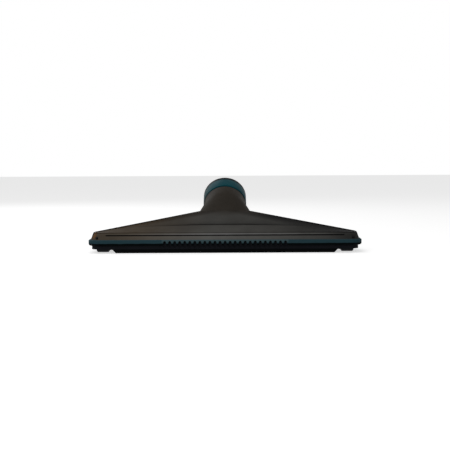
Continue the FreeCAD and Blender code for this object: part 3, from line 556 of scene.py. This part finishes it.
def dress(piece, body, node):
    """Lets a piece ride on a body in place of its CAD node."""
    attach(piece, body)
    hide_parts(node)


for node, material, width, slot in (("top_cover", COVER, 0.5 * MM, "cover_plastic"),
                                    ("lower_housing", HOUSING, 0.4 * MM, "housing_plastic"),
                                    ("blade_insert", INSERT, 0.3 * MM, "insert_plastic")):
    data = merged_copy(node, node + "_moulding")
    smooth(data, 16)
    shell = add_piece(data, material, node + "_moulding")
    rounded(shell, width)
    dress(shell, "tool", node)
    print(shell.name, len(data.polygons), "triangles")

# %% [markdown]
# ## Geometry Nodes as a pattern
#
# What repeats is made by a small Geometry Nodes tree: the notches of the bumper and of the rear blade, and
# the screws. `Pattern` builds such a tree with named inputs for its sizes. `make` puts it on an object as a
# modifier, sets the inputs, and turns the result into one plain mesh, so that nothing depends on the
# modifier later.

# %% Patterns
class Pattern:
    """A Geometry Nodes tree that is being built, with named inputs for its sizes."""

    KINDS = {float: "NodeSocketFloat", int: "NodeSocketInt", "object": "NodeSocketObject"}

    def __init__(self, name, **inputs):
        self.tree = bpy.data.node_groups.new(name, "GeometryNodeTree")
        face = self.tree.interface
        face.new_socket("Geometry", in_out="OUTPUT", socket_type="NodeSocketGeometry")
        face.new_socket("Geometry", in_out="INPUT", socket_type="NodeSocketGeometry")
        self.keys = {}
        for label, kind in inputs.items():
            socket = face.new_socket(label.replace("_", " "), in_out="INPUT", socket_type=self.KINDS[kind])
            self.keys[label] = socket.identifier
        self.entry = self.tree.nodes.new("NodeGroupInput")
        self.source = self.entry.outputs["Geometry"]

    def size(self, label):
        """The wire of one named input."""
        return self.entry.outputs[label.replace("_", " ")]

    def node(self, kind, settings=None, values=None, output=0):
        """Any node: its settings first, then its inputs. Returns one of its outputs."""
        node = self.tree.nodes.new(kind)
        for key, value in (settings or {}).items():
            setattr(node, key, value)
        for key, value in (values or {}).items():
            for item in value if isinstance(value, list) else [value]:
                if isinstance(item, bpy.types.NodeSocket):
                    self.tree.links.new(item, node.inputs[key])
                else:
                    node.inputs[key].default_value = item
        return node.outputs[output]

    def math(self, operation, first, second):
        """A Math node on two numbers."""
        return self.node("ShaderNodeMath", {"operation": operation}, {0: first, 1: second})

    def vector(self, x=0.0, y=0.0, z=0.0):
        """Three numbers as one vector."""
        return self.node("ShaderNodeCombineXYZ", None, {"X": x, "Y": y, "Z": z})

    def stored(self, label, kind):
        """A value that each point of the mesh stores."""
        return self.node("GeometryNodeInputNamedAttribute", {"data_type": kind}, {"Name": label})

    def shape(self, label):
        """The geometry of the object given to one named input."""
        return self.node("GeometryNodeObjectInfo", {"transform_space": "ORIGINAL"},
                         {"Object": self.size(label)}, output="Geometry")

    def row(self, start, offset):
        """Points in a straight row, as many as the input named Count says."""
        return self.node("GeometryNodeMeshLine", {"mode": "OFFSET"},
                         {"Count": self.size("Count"), "Start Location": start, "Offset": offset})

    def repeated(self, points, instance):
        """Real copies of an instance at the points."""
        copies = self.node("GeometryNodeInstanceOnPoints", None, {"Points": points, "Instance": instance})
        return self.node("GeometryNodeRealizeInstances", None, {"Geometry": copies})

    def close(self, geometry, material):
        """Ends the tree: instances become real, and the material is set."""
        real = self.node("GeometryNodeRealizeInstances", None, {"Geometry": geometry})
        done = self.node("GeometryNodeSetMaterial", None, {"Geometry": real, "Material": material})
        leave = self.tree.nodes.new("NodeGroupOutput")
        self.tree.links.new(done, leave.inputs["Geometry"])

    def make(self, data, name, **sizes):
        """Runs the tree on a mesh and returns the result as one plain mesh object."""
        start = link(name + "_start", data)
        modifier = start.modifiers.new("pattern", "NODES")
        modifier.node_group = self.tree
        for label, value in sizes.items():
            modifier[self.keys[label]] = value
        bpy.context.view_layer.update()
        evaluated = start.evaluated_get(bpy.context.evaluated_depsgraph_get())
        result = bpy.data.meshes.new_from_object(evaluated)
        start.modifiers.remove(modifier)
        bpy.data.objects.remove(start)
        result.name = name
        return link(name, result)


# %% [markdown]
# ## Outlines and skins
#
# Several pieces start as a row of outlines that are joined by faces: the bumper's section at each stop of
# its path, the two sides of a blade, the rings of a turned part. `skin` joins two such outlines, and
# `prism` makes a flat piece from an outline at two places along Y.

# %% Outlines and skins
def arc(centre, radius, start, end, steps):
    """Points on an arc, angles in degrees."""
    angles = [math.radians(start + (end - start) * i / steps) for i in range(steps + 1)]
    return [(centre[0] + radius * math.cos(a), centre[1] + radius * math.sin(a)) for a in angles]


def skin(mesh, near, far):
    """Joins two closed outlines by faces. Corners that are one and the same give triangles."""
    count = len(near)
    for i in range(count):
        j = (i + 1) % count
        corners = list(dict.fromkeys((near[i], near[j], far[j], far[i])))
        if len(corners) > 2:
            mesh.faces.new(corners)


def prism(outline, front, back, name):
    """A closed solid between two copies of an (x, z) outline, at two places along Y."""
    mesh = bmesh.new()
    near, far = ([mesh.verts.new((x, y, z)) for x, z in outline] for y in (front, back))
    skin(mesh, near, far)
    mesh.faces.new(reversed(near))
    mesh.faces.new(far)
    bmesh.ops.recalc_face_normals(mesh, faces=mesh.faces)
    return store(mesh, name)


print("a quarter turn in 3 steps:", [(round(x, 2), round(y, 2)) for x, y in arc((0, 0), 1, 0, 90, 3)])

# %% [markdown]
# ## Bumper strip
#
# A soft vinyl strip runs along the front and round both ends, so that the tool does no harm to skirting
# boards. Its section is swept along a U-shaped path, which gives rounded corners with few faces and keeps
# the section the same all round.

# %% Bumper strip
BUMPER_LOW, BUMPER_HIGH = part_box("front_bumper")
BUMPER_CORNER = 17.0 * MM
BUMPER_WALL = 2.95 * MM
BUMPER_TOP_ROUND = 1.4 * MM
BUMPER_BOTTOM_ROUND = 2.7 * MM


def bumper_section():
    """The strip's section as (outward, height) points: outward is 0 on the outer face."""
    low, high = BUMPER_LOW.z, BUMPER_HIGH.z
    top, bottom = BUMPER_TOP_ROUND, BUMPER_BOTTOM_ROUND
    lower = [(-BUMPER_WALL, low)] + arc((-bottom, low + bottom), bottom, -90, 0, 6)
    return lower + arc((-top, high - top), top, 0, 90, 4) + [(-BUMPER_WALL, high)]


def bumper_path():
    """(x, y, outward direction) along the U, from the left end to the right end."""
    half, front, rear = BUMPER_HIGH.x, BUMPER_LOW.y, BUMPER_HIGH.y
    left = (-half + BUMPER_CORNER, front + BUMPER_CORNER)
    stops = [(-half, rear, -1.0, 0.0), (-half, (rear + left[1]) / 2, -1.0, 0.0)]
    for x, y in arc(left, BUMPER_CORNER, 180, 270, 14):
        stops.append((x, y, (x - left[0]) / BUMPER_CORNER, (y - left[1]) / BUMPER_CORNER))
    return stops + [(-x, y, -u, v) for x, y, u, v in reversed(stops)]


def sweep(path, section, name):
    """A closed strip: the section at each stop of the path, joined by faces, with its ends closed."""
    mesh = bmesh.new()
    rings = [[mesh.verts.new((x + u * out, y + v * out, z)) for out, z in section] for x, y, u, v in path]
    for near, far in zip(rings, rings[1:]):
        skin(mesh, near, far)
    mesh.faces.new(rings[0])
    mesh.faces.new(reversed(rings[-1]))
    bmesh.ops.recalc_face_normals(mesh, faces=mesh.faces)
    return store(mesh, name)


strip = sweep(bumper_path(), bumper_section(), "bumper_strip")
print("bumper strip:", len(strip.polygons), "faces before it is notched")

# %% [markdown]
# ## Notches in the bumper
#
# The middle of the strip has a row of arched notches that let water through to the front blade. One arch is
# made as a cutter, and Geometry Nodes repeat it along X and take the row away from the strip with an exact
# Boolean. A bevel then softens the teeth between the notches.

# %% Notches in the bumper
NOTCH_COUNT = 25
NOTCH_PITCH = 6.6 * MM
NOTCH_WIDTH = 4.0 * MM
NOTCH_TOP = 16.6 * MM
NOTCH_RISE = 3.4 * MM        # from where the arch starts to its top
CUTTER_DEPTH = 6.0 * MM
CUTTER_START = 1.0 * MM      # a cutter starts this far outside the piece


def arch(width, low, top, rise, steps=8):
    """An upright arch as a cutter that runs back along Y. Its curve starts rise below top."""
    half = width / 2
    curve = [(x, top - rise + z * rise / half) for x, z in arc((0, 0), half, 0, 180, steps)]
    return link("arch", prism([(-half, low), (half, low)] + curve, 0, CUTTER_DEPTH, "arch"))


def notched_strip(material):
    """A tree that takes a row of notches out of a strip that runs along X."""
    p = Pattern("notched strip", Cutter="object", Count=int, Pitch=float, Start=float, Front=float)
    row = p.row(p.vector(x=p.size("Start"), y=p.size("Front")), p.vector(x=p.size("Pitch")))
    cut = p.node("GeometryNodeMeshBoolean", {"operation": "DIFFERENCE", "solver": "EXACT"},
                 {"Mesh 1": p.source, "Mesh 2": p.repeated(row, p.shape("Cutter"))})
    p.close(cut, material)
    return p


def notch(data, name, material, cutter, count, pitch, front):
    """Cuts a row of notches, centred on x = 0, into a strip whose front is at the given Y."""
    piece = notched_strip(material).make(data, name, Cutter=cutter, Count=count, Pitch=pitch,
                                         Start=-(count - 1) / 2 * pitch, Front=front - CUTTER_START)
    bpy.data.objects.remove(cutter)
    return piece


cutter = arch(NOTCH_WIDTH, BUMPER_LOW.z - CUTTER_START, NOTCH_TOP, NOTCH_RISE)
bumper = notch(strip, "notched_bumper", VINYL, cutter, NOTCH_COUNT, NOTCH_PITCH, BUMPER_LOW.y)
smooth(bumper.data, 30)
rounded(bumper, 0.35 * MM, 40)
dress(bumper, "tool", "front_bumper")
print("bumper:", NOTCH_COUNT, "notches,", len(bumper.data.polygons), "faces")

# %% [markdown]
# ## Blades
#
# Two rubber blades seal the mouth to the floor. The front one is plain. The rear one has small notches along
# its foot, so that water can pass under it when the tool is pulled back. The function that notched the
# bumper cuts them, with a smaller cutter and a wider pitch.

# %% Blades
BLADE_CORNER = 4.0 * MM
BLADE_NOTCH_COUNT = 24
BLADE_NOTCH_PITCH = 12.0 * MM
BLADE_NOTCH_WIDTH = 2.4 * MM
BLADE_NOTCH_HEIGHT = 1.6 * MM


def blade_slab(node):
    """A strip of rubber sheet with its two lower corners cut off."""
    low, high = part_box(node)
    c = BLADE_CORNER
    outline = [(low.x + c, low.z), (high.x - c, low.z), (high.x, low.z + c), (high.x, high.z),
               (low.x, high.z), (low.x, low.z + c)]
    return prism(outline, low.y, high.y, node + "_strip")


front_blade = add_piece(blade_slab("front_blade"), BLADE, "plain_front_blade")
cutter = arch(BLADE_NOTCH_WIDTH, -CUTTER_START, BLADE_NOTCH_HEIGHT, BLADE_NOTCH_WIDTH / 2, 6)
rear_blade = notch(blade_slab("rear_blade"), "notched_rear_blade", BLADE, cutter, BLADE_NOTCH_COUNT,
                   BLADE_NOTCH_PITCH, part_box("rear_blade")[0].y)
for blade, node in ((front_blade, "front_blade"), (rear_blade, "rear_blade")):
    smooth(blade.data, 30)
    rounded(blade, 0.3 * MM, 40)
    dress(blade, "tool", node)
    print(blade.name, len(blade.data.polygons), "faces")

# %% [markdown]
# ## Turned parts
#
# The cuff, its washer, the wand seal, the rollers and their pins are round about an axis. Each is drawn as
# half a section, as on a lathe, and turned round its axis, which the joints and boxes of the CAD frame
# give. A section is a list of (radius, distance along the axis) points, in order round the solid.

# %% Turned parts
def lathe(section, place, axis, name, steps=96):
    """Turns a closed section round an axis. Points with no radius become one pole each."""
    direction = Vector(axis).normalized()
    turned = Vector((1, 0, 0)) if abs(direction.x) < 0.9 else Vector((0, 0, 1))
    side = direction.cross(turned).normalized()
    turned = side.cross(direction)
    spokes = [turned * x + side * y for x, y in arc((0, 0), 1, 0, 360, steps)[:-1]]
    mesh = bmesh.new()
    rings = []
    for radius, along in section:
        middle = Vector(place) + direction * along
        if radius < 1e-7:
            rings.append([mesh.verts.new(middle)] * steps)
        else:
            rings.append([mesh.verts.new(middle + spoke * radius) for spoke in spokes])
    for near, far in zip(rings, rings[1:] + rings[:1]):
        skin(mesh, near, far)
    bmesh.ops.recalc_face_normals(mesh, faces=mesh.faces)
    return store(mesh, name)


def soften(section, radius, steps=3):
    """Rounds the corners of a closed section, as far as its sides allow."""
    result = []
    count = len(section)
    for i, point in enumerate(section):
        here, before, after = (Vector(section[k % count]) for k in (i, i - 1, i + 1))
        back, ahead = before - here, after - here
        reach = min(radius, back.length * 0.45, ahead.length * 0.45)
        start = here + back.normalized() * reach
        end = here + ahead.normalized() * reach
        for k in range(steps + 1):
            t = k / steps
            result.append(tuple(start * (1 - t) ** 2 + here * 2 * t * (1 - t) + end * t ** 2))
    return result


# %% [markdown]
# ## Swivel cuff, washer and wand seal
#
# The cuff is the blue-green ring at the end of the neck. It turns on the hood, so that the wand can be
# twisted, and its bore takes a 50 mm wand. A slim nylon washer keeps it off the hood and a rubber ring
# closes its mouth. Only the cuff, the seal and the clip turn with the wand.

# %% Cuff
HOOD_END = Vector(JOINTS["cuff_swivel"]["pos_m"])
CUFF_RADIUS = 30.0 * MM
SOCKET_RADIUS = 25.0 * MM
SPIGOT_RADIUS = 26.9 * MM
WASHER_RADIUS = 28.4 * MM
STOP_LIP = 2.0 * MM          # the lip inside the cuff that stops the wand
SHOULDER = 2.6 * MM          # this place and the next ones are along the axis, from the hood's end
SEAL_START = 27.2 * MM
MOUTH = 30.0 * MM
SOCKET_END = -12.0 * MM
SPIGOT_END = -14.5 * MM
CLIP_SLOT = (-12.9 * MM, -11.7 * MM)
CLIP_SLOT_DEPTH = 0.8 * MM
SEAL_CLEARANCE = 0.3 * MM
WASHER_CLEARANCE = 0.15 * MM


def cuff_section():
    """The spigot with its clip slot, the shoulder, the band and the stepped bore."""
    slot, lip = SPIGOT_RADIUS - CLIP_SLOT_DEPTH, SOCKET_RADIUS - STOP_LIP
    return [(lip, SPIGOT_END), (SPIGOT_RADIUS, SPIGOT_END), (SPIGOT_RADIUS, CLIP_SLOT[0]),
            (slot, CLIP_SLOT[0]), (slot, CLIP_SLOT[1]), (SPIGOT_RADIUS, CLIP_SLOT[1]),
            (SPIGOT_RADIUS, SHOULDER), (CUFF_RADIUS, SHOULDER), (CUFF_RADIUS, SEAL_START),
            (SOCKET_RADIUS, SEAL_START), (SOCKET_RADIUS, SOCKET_END), (lip, SOCKET_END)]


def seal_section():
    """A rubber ring whose inner edge is a soft lip."""
    inner = SOCKET_RADIUS + SEAL_CLEARANCE
    return [(inner + 1.2 * MM, SEAL_START), (CUFF_RADIUS, SEAL_START), (CUFF_RADIUS, MOUTH),
            (inner + 1.0 * MM, MOUTH), (inner, MOUTH - 1.0 * MM), (inner, SEAL_START + 0.8 * MM)]


def washer_section():
    """A flat ring between the hood and the shoulder."""
    inner, start, end = SPIGOT_RADIUS + WASHER_CLEARANCE, WASHER_CLEARANCE, SHOULDER - 0.1 * MM
    return [(inner, start), (WASHER_RADIUS, start), (WASHER_RADIUS, end), (inner, end)]


for name, section, round_by, material, body, slot, node in (
        ("turned_cuff", cuff_section(), 0.6 * MM, CUFF, "cuff", "cuff_plastic", "swivel_cuff"),
        ("lipped_wand_seal", seal_section(), 0.5 * MM, SEAL, "cuff", "seal_rubber", "wand_seal"),
        ("friction_washer", washer_section(), 0.2 * MM, WASHER, "tool", "washer_nylon", "cuff_washer")):
    data = lathe(soften(section, round_by), HOOD_END, CUFF_AXIS, name)
    smooth(data, 40)
    dress(add_piece(data, material, name), body, node)
    print(name, len(data.polygons), "faces")

# %% [markdown]
# ## Rollers and axles
#
# Four small nylon rollers carry the tool, two at each end, so that the blades only just touch the floor.
# Each is a drum with bevelled rims and a dished face round its hub, and turns on a steel pin.

# %% Rollers
ROLLER_RADIUS = 7.0 * MM
ROLLER_HALF = 8.5 * MM
ROLLER_BEVEL = 1.5 * MM
HUB_RADIUS = 3.2 * MM
RIM_RADIUS = 5.0 * MM
DISH_DEPTH = 1.3 * MM
DISH_SLOPE = 0.3 * MM
PIN_RADIUS = 2.0 * MM
PIN_CLEARANCE = 0.05 * MM
PIN_CHAMFER = 0.3 * MM


def roller_section():
    """A drum with bevelled rims, a dish in each face and a hub round the pin."""
    floor = ROLLER_HALF - DISH_DEPTH
    right = [(PIN_RADIUS + PIN_CLEARANCE, ROLLER_HALF), (HUB_RADIUS, ROLLER_HALF),
             (HUB_RADIUS + DISH_SLOPE, floor), (RIM_RADIUS - DISH_SLOPE, floor), (RIM_RADIUS, ROLLER_HALF),
             (ROLLER_RADIUS - ROLLER_BEVEL, ROLLER_HALF), (ROLLER_RADIUS, ROLLER_HALF - ROLLER_BEVEL)]
    return right + [(radius, -along) for radius, along in reversed(right)]


def pin_section(half):
    """A solid pin, half of whose length is given, with chamfered ends."""
    left = [(0, -half), (PIN_RADIUS - PIN_CHAMFER, -half), (PIN_RADIUS, -half + PIN_CHAMFER)]
    return left + [(radius, -along) for radius, along in reversed(left)]


for place in ("front_left", "front_right", "rear_left", "rear_right"):
    joint = JOINTS["roll_" + place]
    drum = lathe(soften(roller_section(), 0.4 * MM, 2), joint["pos_m"], joint["axis"], "drum_" + place, 64)
    smooth(drum, 40)
    dress(add_piece(drum, NYLON, "drum_" + place), "roller_" + place, "roller_" + place)
    low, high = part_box("axle_" + place)
    pin = lathe(pin_section((high.x - low.x) / 2), (low + high) / 2, (1, 0, 0), "pin_" + place, 32)
    smooth(pin, 30)
    dress(add_piece(pin, PIN, "pin_" + place), "tool", "axle_" + place)
    print("roller and pin,", place, "pin length", round(high.x - low.x, 4))

# %% [markdown]
# ## Clamp strips
#
# A stainless strip presses each blade against the insert. It is flat stock with rounded corners and a row
# of holes. Geometry Nodes draw the outline and the circles as curves, fill them to a flat sheet, and a
# Solidify modifier gives the sheet its thickness.

# %% Clamp strips
HEAD_RADIUS = 2.9 * MM
HOLE_COUNT = 5
HOLE_RADIUS = 1.6 * MM
STRIP_CORNER = 1.2 * MM


def perforated_strip(material):
    """A tree that draws a flat strip along X with a row of round holes."""
    p = Pattern("perforated strip", Length=float, Height=float, Corner=float, Count=int, Pitch=float,
                Hole_Radius=float)
    edge = p.node("GeometryNodeCurvePrimitiveQuadrilateral", None,
                  {"Width": p.size("Length"), "Height": p.size("Height")})
    edge = p.node("GeometryNodeFilletCurve", {"mode": "POLY"},
                  {"Curve": edge, "Radius": p.size("Corner"), "Count": 5})
    hole = p.node("GeometryNodeCurvePrimitiveCircle", None,
                  {"Resolution": 20, "Radius": p.size("Hole_Radius")})
    gaps = p.math("SUBTRACT", p.size("Count"), 1.0)
    start = p.math("MULTIPLY", gaps, p.math("MULTIPLY", p.size("Pitch"), -0.5))
    holes = p.repeated(p.row(p.vector(x=start), p.vector(x=p.size("Pitch"))), hole)
    curves = p.node("GeometryNodeJoinGeometry", None, {"Geometry": [edge, holes]})
    sheet = p.node("GeometryNodeFillCurve", None, {"Curve": curves})
    upright = p.node("GeometryNodeTransform", None, {"Geometry": sheet, "Rotation": (math.pi / 2, 0, 0)})
    p.close(upright, material)
    return p


clamp_tree = perforated_strip(STAINLESS)
for side in ("front", "rear"):
    node = side + "_blade_clamp"
    low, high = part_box(node)
    screws_low, screws_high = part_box(side + "_clamp_screws")
    pitch = (screws_high.x - screws_low.x - 2 * HEAD_RADIUS) / (HOLE_COUNT - 1)
    strip = clamp_tree.make(bpy.data.meshes.new("empty"), "steel_" + node, Length=high.x - low.x,
                            Height=high.z - low.z, Corner=STRIP_CORNER, Count=HOLE_COUNT, Pitch=pitch,
                            Hole_Radius=HOLE_RADIUS)
    strip.data.transform(Matrix.Translation((low + high) / 2))
    wall = strip.modifiers.new("thickness", "SOLIDIFY")
    wall.thickness = high.y - low.y
    wall.offset = 0.0
    rounded(strip, 0.15 * MM, 40)
    dress(strip, "tool", node)
    print(strip.name, "pitch", round(pitch, 4))

# %% [markdown]
# ## Where the screws are
#
# Twenty pan-head screws hold the tool together, in five groups. The CAD model says where each one is: a
# screw is one island of triangles in its node, its long axis is the direction of the most spread, and its
# head is at the wider end.

# %% Where the screws are
HEAD_HEIGHT = 1.8 * MM


def islands(node):
    """The separate solids of a CAD node, each as an array of points."""
    mesh = bmesh.new()
    mesh.from_mesh(merged_copy(node, "islands"))
    seen = set()
    groups = []
    for first in mesh.verts:
        if first in seen:
            continue
        group = [first]
        seen.add(first)
        for vert in group:
            near = [edge.other_vert(vert) for edge in vert.link_edges]
            group += [other for other in near if other not in seen]
            seen.update(near)
        groups.append(np.array([vert.co[:] for vert in group]))
    mesh.free()
    return groups


def screw_seat(points):
    """(under side of the head, outward direction, head radius, shank length) of one screw."""
    centre = (points.min(0) + points.max(0)) / 2
    axis = np.linalg.eigh(np.cov((points - points.mean(0)).T))[1][:, 2]
    along = (points - centre) @ axis
    off = np.linalg.norm(points - centre - np.outer(along, axis), axis=1)
    if along[off.argmax()] < 0:
        axis, along = -axis, -along
    seat = centre + axis * (along.max() - HEAD_HEIGHT)
    return seat, axis, off.max(), along.max() - along.min() - HEAD_HEIGHT


SCREW_NODES = ("front_clamp_screws", "rear_clamp_screws", "insert_screws", "rear_cover_screws",
               "end_cover_screws")
SEATS = {node: [screw_seat(points) for points in islands(node)] for node in SCREW_NODES}
for node, seats in SEATS.items():
    print(node, len(seats), "screws, shanks", round(float(seats[0][3]), 4))

# %% [markdown]
# ## Screws
#
# One finely made head and one shank are repeated at these places by Geometry Nodes, turned to the direction
# that each place stores. The cross recess is pushed down into the dome of the head, where a cutter would
# leave thin slivers. The two screws at the ends of the front band are blackened, and the others are zinc
# plated.

# %% Screws
SHANK_RADIUS = 1.5 * MM
HEAD_STEPS = 32
RECESS_DEPTH = 0.55 * HEAD_HEIGHT
DOME = [(1.00, 0.00), (1.00, 0.45), (0.93, 0.72), (0.80, 0.88), (0.62, 0.95), (0.42, 0.98), (0.22, 1.00)]


def in_recess(i, radius):
    """Whether a corner of the head is in one of the four arms of the cross."""
    quarter = HEAD_STEPS // 4
    return radius < 0.5 and abs((i + quarter // 2) % quarter - quarter // 2) <= 1


def pan_head():
    """A domed head whose cross recess is pushed down into the top, with sloping walls."""
    mesh = bmesh.new()
    rings = [[mesh.verts.new((0, 0, 0))] * HEAD_STEPS]
    for radius, height in DOME:
        circle = arc((0, 0), radius * HEAD_RADIUS, 0, 360, HEAD_STEPS)[:-1]
        rings.append([mesh.verts.new((x, y, height * HEAD_HEIGHT - RECESS_DEPTH * in_recess(i, radius)))
                      for i, (x, y) in enumerate(circle)])
    rings.append([mesh.verts.new((0, 0, 0.4 * HEAD_HEIGHT))] * HEAD_STEPS)
    for low, high in zip(rings, rings[1:]):
        skin(mesh, low, high)
    data = store(mesh, "pan_head")
    smooth(data, 35)
    return link("pan_head", data)


def seat_points(seats):
    """A mesh with one point for each screw, which stores its direction, head radius and shank length."""
    data = bpy.data.meshes.new("seats")
    data.from_pydata([tuple(seat) for seat, _, _, _ in seats], [], [])
    direction = data.attributes.new("direction", "FLOAT_VECTOR", "POINT")
    direction.data.foreach_set("vector", np.array([axis for _, axis, _, _ in seats]).ravel())
    for label, column in (("head", 2), ("reach", 3)):
        attribute = data.attributes.new(label, "FLOAT", "POINT")
        attribute.data.foreach_set("value", np.array([seat[column] for seat in seats]))
    return data


def screw_rows(material):
    """A tree that puts a head and a shank at each point."""
    p = Pattern("screw rows", Head="object", Head_Radius=float, Shank_Radius=float)
    turned = p.node("FunctionNodeAlignRotationToVector", {"axis": "Z"},
                    {"Vector": p.stored("direction", "FLOAT_VECTOR")})
    share = p.math("DIVIDE", p.stored("head", "FLOAT"), p.size("Head_Radius"))
    points = p.node("GeometryNodeMeshToPoints", None, {"Mesh": p.source})
    heads = p.node("GeometryNodeInstanceOnPoints", None,
                   {"Points": points, "Instance": p.shape("Head"), "Rotation": turned,
                    "Scale": p.vector(x=share, y=share, z=1.0)})
    shank = p.node("GeometryNodeMeshCylinder", None,
                   {"Vertices": 16, "Radius": p.size("Shank_Radius"), "Depth": 1.0})
    shank = p.node("GeometryNodeTransform", None, {"Geometry": shank, "Translation": (0.0, 0.0, -0.5)})
    shanks = p.node("GeometryNodeInstanceOnPoints", None,
                    {"Points": points, "Instance": shank, "Rotation": turned,
                     "Scale": p.vector(x=1.0, y=1.0, z=p.stored("reach", "FLOAT"))})
    p.close(p.node("GeometryNodeJoinGeometry", None, {"Geometry": [heads, shanks]}), material)
    return p


head = pan_head()
for node, seats in SEATS.items():
    blackened = node == "end_cover_screws"
    group = screw_rows(BLACKENED if blackened else ZINC).make(
        seat_points(seats), "pan_" + node, Head=head, Head_Radius=HEAD_RADIUS, Shank_Radius=SHANK_RADIUS)
    dress(group, "tool", node)
    print(group.name, len(group.data.polygons), "faces")
bpy.data.objects.remove(head)

# %% [markdown]
# ## Hidden parts
#
# The spring clip that keeps the cuff in the hood and the rubber gasket under the cover can hardly be seen.
# Their CAD solids have the right shape, so they stay and only get their finish.

# %% Hidden parts
for node, material in (("cuff_clip", SPRING), ("cover_gasket", SEAL)):
    data = NODES[node].data
    data.materials.clear()
    data.materials.append(material)
    print(node, "keeps its CAD shape")
